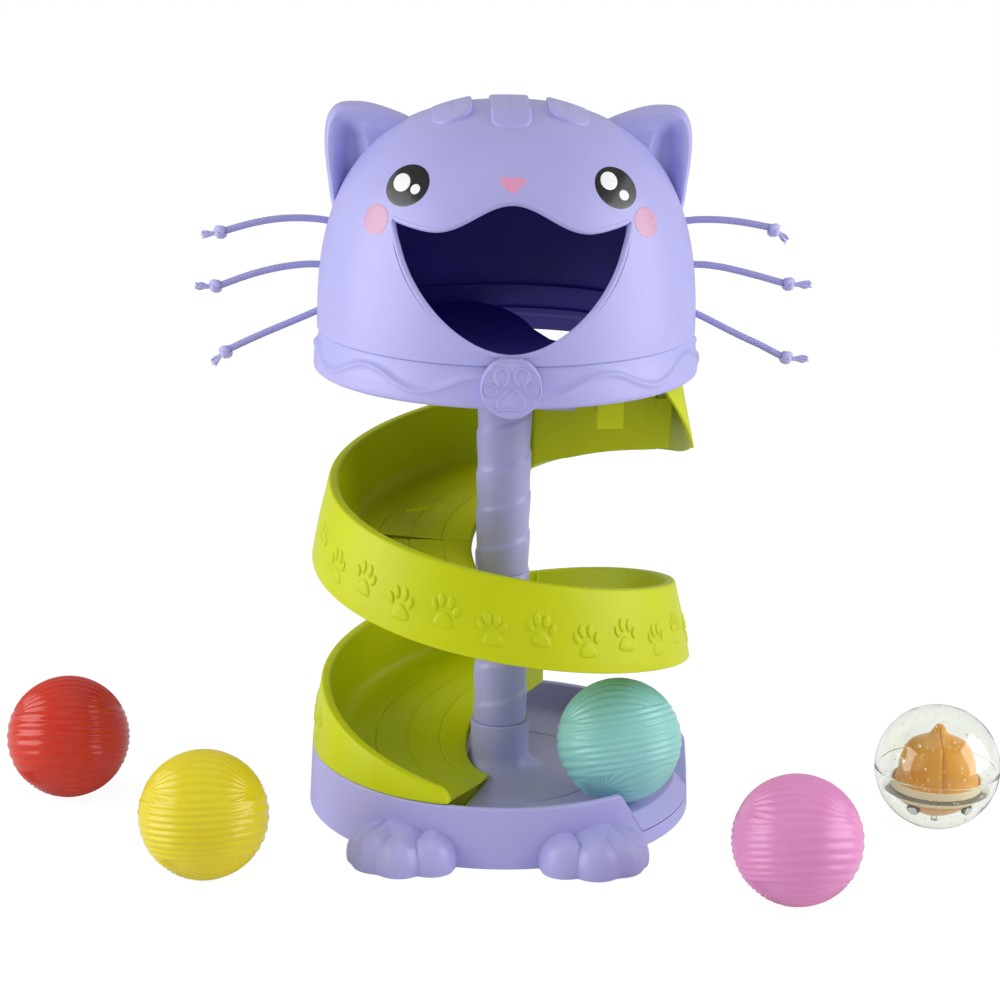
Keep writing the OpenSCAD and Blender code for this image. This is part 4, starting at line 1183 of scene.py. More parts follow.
@dataclass
class BaseTray:
    """Round tray with a hub for the post, a gate for the balls and two paws at the front."""

    foot_r: float = 108.5
    rim_r: float = 107.0
    rim_h: float = 34.0
    tray_foot_r: float = 101.5
    tray_z: float = 18.0
    hub_r: float = 16.6
    hub_h: float = 47.0
    hub_fillet: float = 11.0
    exit_angle: float = -24.0
    exit_low_w: float = 66.0
    exit_high_w: float = 101.0
    sill_r: float = 100.5
    sill_z: float = 8.0
    groove_r: float = 58.4
    toes: tuple[tuple[float, float], ...] = ((37.0, -111.0), (54.5, -113.8), (67.0, -107.5), (71.0, -98.5))
    toe_r: float = 13.0
    toe_back: float = 0.974
    toe_mid_z: float = 3.8
    toe_tall: float = 1.2
    crease: float = 1.3
    paw: tuple[float, float] = (52.5, -93.0)
    paw_r: float = 26.0
    paw_sink: float = 5.0
    steps: int = 1200
    wall_steps: int = 44
    top_steps: int = 6

    def gate_height(self, angle: float) -> float:
        """Height of the wall at an angle, lower through the gate.

        Args:
            angle: degrees from the right-hand side.

        Returns:
            The height.
        """
        off = (angle - self.exit_angle + 180) % 360 - 180
        if abs(off) > 80:
            return self.rim_h
        aside = abs(self.rim_r * math.sin(math.radians(off)))
        lean = (self.rim_h + 2 - self.sill_z) / ((self.exit_high_w - self.exit_low_w) / 2)
        line = self.sill_z + lean * (aside - self.exit_low_w / 2)
        low = self.tray_z - (self.foot_r - self.sill_r) + 0.6
        return -soft_min(-soft_min(line, self.rim_h, 3.0), -low, 3.0)

    @staticmethod
    def reach(angle: float, z: Points, centre: tuple[float, float, float], r: float, tall: float = 1.0) -> Points:
        """How far out an egg-shaped swelling reaches along a direction.

        Args:
            angle: degrees from the right-hand side.
            z: heights.
            centre: middle of the swelling.
            r: its radius.
            tall: its height over its width.

        Returns:
            Distance from the axis at each height, nought where the swelling isn't met.
        """
        a = math.radians(angle)
        along = centre[0] * math.cos(a) + centre[1] * math.sin(a)
        aside = centre[0] * math.sin(a) - centre[1] * math.cos(a)
        room = r * r - ((z - centre[2]) / tall) ** 2 - aside * aside
        return np.where((room > 0) & (along > 0), along + np.sqrt(np.maximum(room, 0)), 0.0)

    def wall(self, angle: float, height: float) -> Points:
        """Outer side of the wall from the floor up, with the paws on it.

        Args:
            angle: degrees from the right-hand side.
            height: height of the wall there.

        Returns:
            Radius and height of the points.
        """
        paw_top = min(22.0, height - 1.4)
        rise = np.linspace(0, 1, self.wall_steps + 1)
        z = paw_top * (rise - 0.06 * np.sin(2 * math.pi * rise))
        out = self.foot_r - (self.foot_r - self.rim_r) * z / self.rim_h
        swell = np.ones_like(z)
        for side in (-1, 1):
            lobes = [self.reach(angle, z, (side * self.paw[0], self.paw[1], -self.paw_sink), self.paw_r)]
            lobes += [self.reach(angle, z, (side * x * self.toe_back, y * self.toe_back, self.toe_mid_z),
                                 self.toe_r, self.toe_tall) for x, y in self.toes]
            swell = swell + sum(np.where(lobe > out, np.exp((lobe - out) / self.crease), 0.0) for lobe in lobes)
        out = out + self.crease * np.log(swell) * smooth((paw_top - z) / 0.8)
        out[0] -= 1.0
        upper = np.linspace(0, 1, self.top_steps + 1)[1:] * (height - 2.0 - z[-1]) + z[-1]
        lean_up = self.foot_r - (self.foot_r - self.rim_r) * upper / self.rim_h
        return np.concatenate([np.stack([out, z], 1), np.stack([lean_up, upper], 1)])

    def section(self, angle: float) -> Points:
        """Whole section of the moulding at an angle.

        Args:
            angle: degrees from the right-hand side.

        Returns:
            Radius and height of the points, in one closed loop.
        """
        h = self.gate_height(angle)
        outer = self.wall(angle, h)
        rim = self.foot_r - (self.foot_r - self.rim_r) * h / self.rim_h
        if h >= self.tray_z + 0.4:
            inner = (self.tray_foot_r + (h - self.tray_z) / 16.0, h)
            foot = (self.tray_foot_r, self.tray_z)
        else:
            drop = max(self.tray_z - h, 0.4)
            inner = (self.sill_r + drop, self.tray_z - drop)
            foot = (self.sill_r, self.tray_z)
        g, z = self.groove_r, self.tray_z
        top = rounded_path([
            (*outer[-1], 0), (rim, h, 2.2), (*inner, 1.6), (*foot, 1.8),
            (g + 0.7, z, 0.2), (g + 0.35, z - 0.5, 0.2), (g - 0.35, z - 0.5, 0.2), (g - 0.7, z, 0.2),
            (self.hub_r, z, self.hub_fillet), (self.hub_r, self.hub_h, 0.7), (12.6, self.hub_h, 0)], 4,
            closed=False)
        under = np.array([(12.6, 29.3), (10.6, 29.3), (10.6, 0.2), (13.6, 0.2), (16.6, 12), (21.6, 15),
                          (98.5, 15), (min(105.5, rim - 2.4), min(7.5, h - 3)), (105.5, 0.0)])
        return np.concatenate([outer, top[1:], under])

    def build(self) -> None:
        """Makes the tray and dresses its screw."""
        mesh = lathe(self.section, self.steps, closed=True)
        add_piece("base_tray_moulding", mesh, Slot.LAVENDER, replaces=["base_tray"], crease=50)
        SHOP.dress_node("base_screw", Slot.STEEL)
        LOG.info("base tray: %.0f mm across, rim %.0f mm high, gate %.0f mm wide at its sill",
                 2 * self.foot_r, self.rim_h, self.exit_low_w)


# ---------------------------------------------------------------------------------------------
# Post
# ---------------------------------------------------------------------------------------------

@dataclass
class Post:
    """Two tubes with a shallow step that winds up them like a wrapped rope."""

    radius: float = 15.4
    low_z: float = 47.0
    joint_z: float = 136.0
    top_z: float = 267.5
    flange_r: float = 22.0
    flange_t: float = 4.0
    pitch: float = 23.0
    step: float = 0.8
    sides: int = 120

    def relief(self, z: float, angles: Points) -> Points:
        """Radius of the wound surface at a height.

        Args:
            z: height.
            angles: degrees round the post.

        Returns:
            The radius at each angle.
        """
        turn = (z / self.pitch - angles / 360.0) % 1.0
        ramp = np.where(turn < 0.86, smooth(turn / 0.86), 1 - smooth((turn - 0.86) / 0.14))
        return self.radius - self.step * (1 - ramp)

    def tube_rings(self, low: float, high: float) -> list[Points]:
        """Rings of a tube's outer side with rounded ends.

        Args:
            low: height of the lower end.
            high: height of the upper end.

        Returns:
            The rings.
        """
        angles = np.arange(self.sides) * 360.0 / self.sides
        a = np.radians(angles)
        heights = np.concatenate([[low, low, low + 0.25], np.arange(low + 0.8, high - 0.8, 0.8),
                                  [high - 0.25, high, high]])
        rings = []
        for i, z in enumerate(heights):
            r = self.relief(z, angles)
            if i in (1, len(heights) - 2):
                r = r - 0.35
            if i in (0, len(heights) - 1):
                r = r * 0 + self.radius - 3
            rings.append(np.stack([r * np.cos(a), r * np.sin(a), np.full(self.sides, z)], 1))
        return rings

    def build(self) -> None:
        """Makes both tubes and dresses the flange's screws."""
        add_piece("lower_post_tube", sweep(self.tube_rings(self.low_z + 0.1, self.joint_z - 0.1)),
                  Slot.LAVENDER, replaces=["lower_post"], crease=50)
        top = self.top_z - self.flange_t
        flange = rounded_path([(self.radius - 2.4, top - 0.5, 0), (self.radius + 1.2, top - 0.5, 0.8),
                               (self.radius + 1.9, top, 0.4), (self.flange_r, top, 0.8),
                               (self.flange_r, self.top_z - 0.05, 0.4),
                               (self.radius - 2.4, self.top_z - 0.05, 0)], 3)
        ring = lathe(lambda angle: flange, 96, closed=True)
        upper = sweep(self.tube_rings(self.joint_z + 0.1, top))
        add_piece("upper_post_tube", joined([upper, ring]), Slot.LAVENDER, replaces=["upper_post"], crease=50)
        SHOP.dress_node("post_flange_screws", Slot.STEEL)
        LOG.info("post: %.1f mm across, wound step every %.0f mm", 2 * self.radius, self.pitch)


# ---------------------------------------------------------------------------------------------
# Ramp
# ---------------------------------------------------------------------------------------------

@dataclass
class SpiralRamp:
    """Channel in four mouldings: floor, inner lip, rolled rim and a flared outer skirt with paw prints."""

    pitch: float = 116.0
    base_h: float = 34.0
    sink: float = 4.5
    skirt_h: float = 44.5
    flare: float = 9.5
    rim_w: float = 5.5
    floor_lift: float = 6.0
    wall: float = 2.4
    fillet: float = 14.0
    end_wall: float = 20.0
    rim_spread: float = 6.7
    front_wall_h: float = 30.0
    front_wall_y: float = 8.0
    lip_r: float = 17.5
    rim_r: float = 97.5
    skirt_r: float = 107.0
    tray_z: float = 18.0
    seat: float = 0.3
    start_lip_lift: float = 3.2
    start_skirt_lift: float = 5.0
    fin_angle: float = -30.0
    fin_cut: float = -4.0
    end_lift: float = 9.767
    start: float = 5.5
    seam_back: float = 77.0
    seam_left: float = 177.0
    seam_low: float = 437.0
    rim_angle: float = 540.0
    end: float = 615.0
    groove_radii: tuple[float, ...] = (34.0, 53.0, 71.5)
    print_step: float = 14.3
    slit: tuple[tuple[float, float], ...] = ((-56.0, 28.6), (-38.0, 32.0))

    def skirt_line(self, a: float) -> float:
        """Height of the spiral's lower edge at an angle."""
        return self.base_h - self.sink + self.pitch * (self.rim_angle - a) / 360

    def landing(self, a: float) -> float:
        """Share of the last stretch, where the floor runs out level."""
        return clamp01((a - self.rim_angle) / (self.end - self.rim_angle))

    def floor_z(self, a: float) -> float:
        """Height of the channel's floor at an angle."""
        return self.skirt_line(a) + self.floor_lift + self.end_lift * self.landing(a) ** 2

    def rim_z(self, a: float) -> float:
        """Height of the rolled rim, rounded down at the ramp's end.

        Args:
            a: angle along the spiral, in degrees.

        Returns:
            The height.
        """
        rise = self.skirt_h - self.floor_lift
        height = rise - (rise - self.end_wall) * self.landing(a) ** 1.5
        return self.floor_z(a) + height - 5.0 * clamp01((a - self.end + 3.2) / 3.2) ** 2.5

    def rim_radius(self, a: float) -> float:
        """Outer radius of the rim at an angle."""
        return self.rim_r + self.rim_spread * float(smooth((a - self.seam_low) / (self.end - self.seam_low)))

    def skirt(self, a: float) -> tuple[float, float, float, float]:
        """Outer skirt at an angle.

        Args:
            a: degrees down the spiral.

        Returns:
            Radius and height at the rim, then radius and height at the lower edge.
        """
        lift = self.start_skirt_lift * float(smooth((20.0 - a) / 20.0))
        low = max(self.skirt_line(a) + lift, self.base_h + self.seat)
        rr, rz = self.rim_radius(a), self.rim_z(a)
        return rr, rz, min(self.skirt_r, rr + self.flare * (rz - low) / self.skirt_h), low

    def section(self, a: float, tray: bool, filled: bool = False) -> Points:
        """Section of the channel at an angle.

        Args:
            a: degrees down the spiral.
            tray: whether it is the start tray, which has a front wall.
            filled: whether the channel is closed there.

        Returns:
            Radius and height of the points, in one closed loop.
        """
        rr, rz, ro, zo = self.skirt(a)
        zf = self.floor_z(a)
        rw = rr - self.rim_w
        lift = self.start_lip_lift * float(smooth((14.0 - a) / 8.5))
        lip = max(zf - self.floor_lift + lift, self.tray_z + self.seat)
        cavity = min(self.rim_w, max(self.wall + 1, (rz - zo) / 2))
        if tray:
            ri = max(self.lip_r, self.front_wall_y / math.sin(math.radians(a)))
            zt = zf + self.front_wall_h
            level = zt - 3.0 if filled else zf
            room = max(0.4, (rw - 1.5 - ri - self.wall) / 2 - 0.3)
            outer, inner = (0.4, 0.4) if filled else (min(self.fillet, room), min(self.fillet / 2, room))
            start = [(ri, lip, 0.4), (ri, zt, 1.1), (ri + self.wall, zt, 1.1), (ri + self.wall, level, inner)]
            floor_in = ri + self.wall + inner
        else:
            swing = 4.5 * float(smooth((a - 500.0) / (self.end - 500.0)))
            ri, level, outer = self.lip_r + swing, zf, self.fillet
            start = [(ri, lip, 0.4), (ri, zf, 1.1)]
            floor_in = ri + 2.0
        floor_out = rw - 1.5 - outer
        grooves = []
        for r in self.groove_radii:
            shown = floor_in + 1.5 < r < floor_out - 1.0 and not filled
            mid = min(max(r, floor_in + 0.2), max(floor_out - 0.2, floor_in + 0.2))
            half, deep = (0.55, 0.5) if shown else (0.02, 0.0)
            grooves += [(mid - 1.6 * half, level, 0.15), (mid - 0.5 * half, level - deep, 0.15),
                        (mid + 0.5 * half, level - deep, 0.15), (mid + 1.6 * half, level, 0.15)]
        bulge = [(rr + (ro - rr) * s + 0.7 * math.sin(math.pi * s), rz - 1.5 + (zo - rz + 1.5) * s, 0.0)
                 for s in (0.2, 0.4, 0.6, 0.8)]
        return rounded_path(start + grooves + [
            (rw - 1.5, level, outer), (rw, rz, 1.5), (rr, rz, 1.6), *bulge, (ro, zo, 0.6),
            (ro - self.wall + 0.2, zo, 0.5),
            (rr - self.wall, rz - cavity, 0.3), (rw + self.wall, rz - cavity, 0.3),
            (rw - 1.5 + self.wall, zf - self.wall, outer + self.wall),
            (ri + self.wall, zf - self.wall, 1.0), (ri + self.wall, lip, 0.4)], 5)

    def rings(self, first: float, last: float, step: float = 1.5) -> list[Points]:
        """Rings of an open stretch, with a small groove cut into both of its ends.

        Args:
            first: angle of the upper end.
            last: angle of the lower end.
            step: largest angle between two rings.

        Returns:
            The rings in space.
        """
        count = math.ceil((last - first) / step)
        angles = [first + 0.04, first + 0.3] + [first + (last - first) * i / count for i in range(1, count)] + \
            [last - 0.3, last - 0.04]
        rings = []
        for i, a in enumerate(angles):
            loop = self.section(a, tray=False)
            rings.append(turned(inset_loop(loop, 0.3) if i in (0, len(angles) - 1) else loop, a))
        return rings

    def start_rings(self) -> list[Points]:
        """Rings of the start tray, closed at its narrow end."""
        narrow = [self.start, 5.9, 6.1, 6.5, 7, 7.6, 8.4, 9.4, 10.5, 12, 13.5, 15, 17, 19, 21.5, 24, 26.5, 29]
        count = 33
        angles = narrow + [29 + (self.seam_back - 29) * i / count for i in range(1, count)] + \
            [self.seam_back - 0.3, self.seam_back - 0.04]
        rings = []
        for i, a in enumerate(angles):
            loop = self.section(a, tray=True, filled=i < 2)
            rings.append(turned(inset_loop(loop, 0.3) if i in (0, len(angles) - 1) else loop, a))
        return rings

    def fin_rings(self) -> list[Points]:
        """Rings of the thin outer wall that runs on past the start tray and is cut down to a point."""
        start_low = self.skirt(self.fin_cut)[3] + self.seat
        tip = self.rim_z(self.fin_angle) - self.rim_w / 2 - 1.7
        rings = []
        for a in np.linspace(self.fin_angle, 5.9, 34):
            line, top = self.skirt_line(a), self.rim_z(a) - self.rim_w / 2
            share = (self.fin_cut - a) / (self.fin_cut - self.fin_angle)
            low = self.skirt(a)[3] + self.seat if share < 0 else start_low + (tip - start_low) * share
            thick = self.wall - 2 * self.seat
            out_low, out_top = (self.skirt_r - self.seat - self.flare * (z - line) / self.skirt_h for z in (low, top))
            rings.append(turned(rounded_path([(out_low - thick, low, 0.5), (out_top - thick, top, 0.5),
                                              (out_top, top, 0.6), (out_low, low, 0.6)], 3), a))
        return rings

    def on_skirt(self, a: float, up: float, out: float) -> Points:
        """A place on the outer skirt.

        Args:
            a: degrees down the spiral.
            up: millimetres above the skirt's lower edge.
            out: millimetres off the surface.

        Returns:
            The point in space.
        """
        rr, rz, ro, zo = self.skirt(a)
        s = 1 - clamp01(up / (rz - 1.5 - zo))
        r = rr + (ro - rr) * s + 0.7 * math.sin(math.pi * s) + out * 0.977
        return turned(np.array([[r, zo + up + out * 0.21]]), a)[0]

    def paw_print(self, a: float, up: float, tilt: float) -> Mesh:
        """Raised paw print on the skirt: four tall toes and a heart-shaped pad.

        Args:
            a: angle of its middle.
            up: height of its middle above the skirt's lower edge.
            tilt: lean of the print in degrees.

        Returns:
            The points and the faces.
        """
        pads = [(-2.55, 5.6, 1.95, 3.4, 4.0), (2.55, 5.6, 1.95, 3.4, -4.0), (-6.1, 2.0, 1.75, 3.0, 16.0),
                (6.1, 2.0, 1.75, 3.0, -16.0), (0.0, -4.6, 5.0, 4.3, 0.0)]
        levels = [(1.06, -0.25), (1.0, 0.2), (0.9, 0.45), (0.75, 0.62), (0.5, 0.72), (0.25, 0.75)]
        lean, sides = math.radians(tilt), 24
        parts = []
        for number, (x, y, half_w, half_h, turn) in enumerate(pads):
            b = math.radians(turn)
            points = []
            for scale, out in levels:
                for t in np.linspace(0, 2 * math.pi, sides, endpoint=False):
                    u, v = half_w * scale * math.cos(t), half_h * scale * math.sin(t)
                    if number == 4:
                        u *= 1.0 - 0.28 * math.sin(t)
                        v -= 0.9 * scale * math.cos(2 * t) * (1 if math.sin(t) < 0 else 0.25)
                    px, py = x + u * math.cos(b) - v * math.sin(b), y + u * math.sin(b) + v * math.cos(b)
                    qx, qy = px * math.cos(lean) - py * math.sin(lean), px * math.sin(lean) + py * math.cos(lean)
                    points.append(self.on_skirt(a + math.degrees(qx / 104.0), up + qy, out))
            parts.append((np.array(points), grid_faces(len(levels), sides, close_cols=True)
                          + end_caps(len(levels), sides)))
        return joined(parts)

    def prints(self, first: float, last: float) -> list[Mesh]:
        """Paw prints of a stretch of the ramp, in a loose zigzag.

        Args:
            first: angle of the upper end.
            last: angle of the lower end.

        Returns:
            Points and faces of each print.
        """
        made = []
        for number in range(-16, 30):
            a = 224.6 + self.print_step * number
            rr, rz, ro, zo = self.skirt(a)
            if first + 5.5 < a < last - 5.5 and rz - zo > 33:
                up = 20.2 - (self.skirt_h - (rz - zo)) * 0.45 if number % 2 == 0 else 16.6
                made.append(self.paw_print(a, up, 4.0 if number % 2 else -4.0))
        return made

    def build(self) -> None:
        """Makes the four mouldings and dresses the pieces that hold them."""
        (left, near), (right, far) = self.slit
        slot = prism(rounded_path([(left, near, 1.5), (right, near, 1.5), (right, far, 1.5),
                                   (left, far, 1.5)], 4), 150.0, 215.0, "Z")
        add_piece("ramp_start_moulding", joined([sweep(self.start_rings()), sweep(self.fin_rings()),
                                                 *self.prints(self.start + 3, self.seam_back)]), Slot.LIME,
                  replaces=["ramp_start"], crease=42)
        upper = add_piece("ramp_upper_moulding", sweep(self.rings(self.seam_back, self.seam_left)), Slot.LIME,
                          replaces=["ramp_upper"], crease=42)
        carve(upper, [slot], crease=42)
        marks = self.prints(self.seam_back, self.seam_left)
        if marks:
            add_piece("ramp_upper_paw_prints", joined(marks), Slot.LIME, crease=42)
        for name, first, last in (("ramp_middle", self.seam_left, self.seam_low),
                                  ("ramp_lower", self.seam_low, self.end)):
            add_piece(name + "_moulding", joined([sweep(self.rings(first, last)), *self.prints(first, last)]),
                      Slot.LIME, replaces=[name], crease=42)
        for node in ("ramp_bracket_upper", "ramp_bracket_lower", "ramp_hanger"):
            SHOP.dress_node(node, Slot.LIME)
        SHOP.dress_node("guide_tab", Slot.LAVENDER)
        for node in ("ramp_screws", "hanger_screw"):
            SHOP.dress_node(node, Slot.STEEL)
        LOG.info("ramp: %.0f degrees in four mouldings, %.0f mm fall a turn", self.end - self.start,
                 self.pitch)


# ---------------------------------------------------------------------------------------------
# Head
# ---------------------------------------------------------------------------------------------

@dataclass
class Collar:
    """Ring under the dome whose lower part stands out along a wavy line, with the paw medallion."""

    low_z: float = 253.5
    height: float = 22.0
    out_r: float = 106.9
    wall: float = 3.0
    shares: tuple[tuple[float, float], ...] = ((0.985, 0), (0.998, 0.05), (1, 0.16), (0.997, 0.4),
                                               (0.987, 0.72), (0.972, 1))
    wave_z: float = 265.5
    wave_h: float = 4.8
    wave_turn: float = 37.0
    wave_start: float = 18.5
    relief: float = 0.9
    ridge: float = 1.25
    medal_r: float = 15.8
    medal_out: float = 4.4
    medal_share: float = 0.56

    def outside(self, angle: float) -> Points:
        """Outer side of the collar at an angle, with its wavy step.

        Args:
            angle: degrees from the right-hand side, head not yet turned.

        Returns:
            Radius and height of the points, from the lower edge up.
        """
        from_front = angle + 90.0
        edge = self.wave_z + self.wave_h * math.cos(2 * math.pi * (from_front - self.wave_start) / self.wave_turn)
        share = np.concatenate([[0.0, 0.02, 0.05, 0.1], np.linspace(0.16, 0.985, 40), [1.0]])
        table = np.array(self.shares)
        z = self.low_z + self.height * share
        r = self.out_r * np.interp(share, table[:, 1], table[:, 0])
        above = smooth((z - edge + 0.7) / 1.9)
        under_seam = 1 - 0.75 * smooth((z - (self.low_z + self.height - 6)) / 6)
        r = r - (self.relief * above - self.ridge * np.exp(-((z - edge) / 1.9) ** 2)) * under_seam - self.ridge
        r[-1] -= 0.5
        return np.stack([r, z], 1)

    def build_ring(self) -> None:
        """Makes the ring."""
        top = self.low_z + self.height
        inside = np.array([(100.4, top), (100.4, top + 5), (97.6, top + 5), (97.6, top - 8), (94.5, top - 8),
                           (94.5, top - 11), (100.7, top - 14), (102.3, self.low_z)])
        mesh = lathe(lambda angle: np.concatenate([self.outside(angle), inside]), 480, closed=True)
        # The ring's inner faces get the indigo finish: painted shade inside the head.
        add_piece("collar_ring", on_head(mesh), Slot.LAVENDER, replaces=["collar"], crease=50,
                  second=(Slot.INDIGO, lambda centres: np.hypot(centres[:, 0], centres[:, 1]) < 101.9))

    def line_loop(self, path: Sequence[tuple[float, float]], thick: float) -> Mesh:
        """Raised loop of line on the medallion's face.

        Args:
            path: x and height from the medallion's centre, as shares of its radius.
            thick: radius of the line.

        Returns:
            The points and the faces.
        """
        face_y = -(self.out_r + self.medal_out)
        centre = self.low_z + self.height * self.medal_share
        anchors = [(x * self.medal_r, face_y + 0.1 * thick, centre + z * self.medal_r) for x, z in path]
        return tube(smooth_line(anchors + anchors[:1], 0.5)[:-1], lambda run, angle: thick, 10, closed=True)

    def build_medallion(self) -> None:
        """Makes the disc with its bead and the outline of a paw."""
        face = self.out_r + self.medal_out
        r = self.medal_r
        profile = rounded_path([(0.0, face, 0), (r * 0.93, face, 0.2), (r * 0.95, face + 0.5, 0.3),
                                (r * 0.985, face + 0.35, 0.3), (r, face - 1.2, 0.5), (r, 98.0, 0)], 4,
                                closed=False)
        rings = []
        centre = self.low_z + self.height * self.medal_share
        sides = 96
        for k in range(sides):
            t = 2 * math.pi * k / sides
            ring = [(p[0] * math.cos(t), -p[1], centre + p[0] * math.sin(t)) for p in profile]
            depth = math.sqrt(max(0.0, (self.out_r - 1.6) ** 2 - (r * math.cos(t)) ** 2))
            ring[-1] = (ring[-1][0], -depth, ring[-1][2])
            rings.append(np.array(ring))
        disc = (np.concatenate(rings), grid_faces(sides, len(profile), close_rows=True))

        def egg(x: float, z: float, half_w: float, half_h: float, point: float) -> list[tuple[float, float]]:
            """Outline of a toe, narrower at its lower end."""
            return [(x + half_w * math.cos(a) * (1 - point * max(0.0, -math.sin(a))),
                     z + half_h * math.sin(a))
                    for a in np.linspace(0, 2 * math.pi, 14, endpoint=False)]

        pad = [(-0.44, -0.62), (-0.46, -0.5), (-0.42, -0.36), (-0.3, -0.22), (-0.13, -0.05), (0.02, 0.03),
               (0.17, -0.04), (0.32, -0.21), (0.42, -0.35), (0.455, -0.5), (0.42, -0.62), (0.25, -0.7),
               (0.0, -0.66), (-0.26, -0.7)]
        lines = [self.line_loop(path, thick) for path, thick in (
            (egg(-0.32, 0.36, 0.245, 0.32, 0.35), 0.75), (egg(0.335, 0.37, 0.245, 0.31, 0.35), 0.75),
            (egg(-0.655, -0.04, 0.2, 0.19, 0.1), 0.65), (egg(0.65, -0.04, 0.215, 0.19, 0.1), 0.65),
            (pad, 0.75))]
        mesh = joined([disc, *lines])
        add_piece("paw_medallion_disc", on_head(mesh), Slot.LAVENDER, replaces=["paw_medallion"],
                  crease=45)

    def build(self) -> None:
        """Makes the ring and its medallion."""
        self.build_ring()
        self.build_medallion()
        # The head's floor is dressed in indigo as painted shade: a lavender plate in deep shade inside the head.
        SHOP.dress_node("head_floor", Slot.INDIGO)
        LOG.info("collar: %.0f mm across, medallion %.0f mm", 2 * self.out_r, 2 * self.medal_r)


@dataclass
class CatHead:
    """Dome with its mouth, brow stripes, ears and printed face."""

    mouth_w: float = 124.0
    corner_z: float = 69.0
    low_lip: float = 5.6
    peak: float = 13.0
    dip: float = 1.6
    dip_x: float = 41.0
    mouth_power: float = 1.85
    bead_r: float = 1.75
    hole_r: float = 2.35
    stripe_w: float = 21.4
    ear_reach: float = 100.0
    ear_top: float = 121.0
    ear_front: float = -2.0
    ear_back: float = 24.0
    ear_hollow: float = 9.5
    film: float = 0.14
    top_film: float = 0.26
    ear_shares: tuple[tuple[float, float], ...] = (
        (0.9, 0.46), (0.955, 0.53), (0.98, 0.66), (0.997, 0.8), (0.992, 0.9), (0.968, 0.957), (0.925, 0.99),
        (0.86, 1.0), (0.77, 0.996), (0.67, 0.975), (0.545, 0.935), (0.45, 0.88), (0.5, 0.6), (0.7, 0.44))

    def mouth(self, steps: int = 48) -> Points:
        """Outline of the mouth.

        Args:
            steps: parts of half of the lower lip.

        Returns:
            x and height above the dome's foot.
        """
        half, drop = self.mouth_w / 2, self.corner_z - self.low_lip
        lower = []
        for i in range(-steps, steps + 1):
            t = math.radians(90 * i / steps)
            lower.append((half * math.copysign(abs(math.sin(t)) ** (2 / self.mouth_power), t),
                          self.corner_z - drop * math.cos(t) ** (2 / self.mouth_power)))
        upper = []
        for i in range(steps - 1, -steps, -1):
            x = 0.985 * half * i / (steps - 1)
            if abs(x) < self.dip_x:
                z = self.corner_z - self.dip + (self.peak + self.dip) * (1 + math.cos(math.pi * x / self.dip_x)) / 2
            else:
                z = self.corner_z - self.dip + 3.7 * ((abs(x) - self.dip_x) / (half - self.dip_x)) ** 1.6
            upper.append((x, z))
        return np.array(lower + upper)

    def build_dome(self) -> None:
        """Makes the shell, with painted shade in indigo on its inner side, and cuts the mouth and the whisker holes.
        """
        outer = FORM.outline(0.0, 90)
        inner = FORM.outline(-FORM.wall, 60)[::-1]
        inner[:, 1] = np.maximum(inner[:, 1], FORM.seam_z)
        foot = np.array([(FORM.radius - 0.5, FORM.seam_z)])
        outer[0] = (FORM.radius, FORM.seam_z + 0.5)
        profile = np.concatenate([foot, outer, inner])[::-1]
        mesh = lathe(lambda angle: profile, 256, closed=True)

        def inside(centres: Points) -> Points:
            """Picks the faces on the inner side of the shell, which get the painted shade.

            Args:
                centres: middles of the faces.

            Returns:
                True for each inner face.
            """
            local = spun(centres, -FORM.yaw)
            up = np.clip((local[:, 2] - FORM.seam_z) / (FORM.height - 1.6), 0, 1)
            middle = (FORM.radius - 1.6) * (1 - up ** FORM.power) ** (1 / FORM.power)
            level = FORM.seam_z + (FORM.height - 1.6) * (1 - np.clip(
                np.hypot(local[:, 0], local[:, 1]) / (FORM.radius - 1.6), 0, 1) ** FORM.power) ** (1 / FORM.power)
            return (np.hypot(local[:, 0], local[:, 1]) < middle - 1.0) & (local[:, 2] < level - 1.0)

        # The inner faces get the indigo finish: painted shade on the lavender shell inside the head.
        dome = add_piece("head_dome_shell", on_head(mesh), Slot.LAVENDER, replaces=["head_dome"],
                         second=(Slot.INDIGO, inside), crease=40)
        outline = self.mouth()
        outline[:, 1] += FORM.seam_z
        cutters = [prism(outline, -130.0, -4.0, "Y")]
        for whisker in WHISKERS:
            line = smooth_line([(s, whisker.y, z) for s, z in whisker.route[2:6]], 1.0)
            start, ahead = line[0] - (line[6] - line[0]) * 0.6, line[0] + (line[6] - line[0]) * 1.6
            hole, faces = tube(np.linspace(start, ahead, 6), lambda run, angle: self.hole_r, 24)
            cutters.append((hole * np.array([whisker.side, 1, 1]), faces))
        carve(dome, [on_head(cutter) for cutter in cutters], inside, 40)
        edge = self.mouth()
        step_in = np.where(edge[:, 1] < self.corner_z - 4, 2.9 * smooth(np.abs(edge[:, 0]) / 56) - 1.2, 0.0)
        step_in = np.convolve(np.pad(step_in, 4, mode="wrap"), np.ones(9) / 9, "valid")
        edge = np.stack([inset_loop(edge, 1.0)[:, k] * step_in + edge[:, k] * (1 - step_in) for k in (0, 1)], 1)
        line = FORM.front(smooth_line(np.concatenate([edge, edge[:1]]), 1.2)[:-1], -1.5)
        bead = tube(line, lambda run, angle: self.bead_r, 16, closed=True)
        add_piece("mouth_rolled_edge", on_head(bead), Slot.LAVENDER, crease=180)

    def stripe(self, x: float, front: float, back: float, lift: Callable[[Points], Points]) -> Mesh:
        """Bar raised on the crown, round in front and with soft corners behind.

        Args:
            x: distance of its middle line from the head's.
            front: how far it reaches forward.
            back: how far it reaches back.
            lift: gives its height above the dome at places of the plan.

        Returns:
            The points and the faces.
        """
        half = self.stripe_w / 2

        def arc(cx: float, cy: float, r: float, first: float, count: int) -> Points:
            """Half a turn for the round front, a quarter turn for a corner."""
            t = np.radians(np.linspace(first, first + (180 if r == half else 90), count))
            return np.stack([cx + r * np.cos(t), cy + r * np.sin(t)], 1)

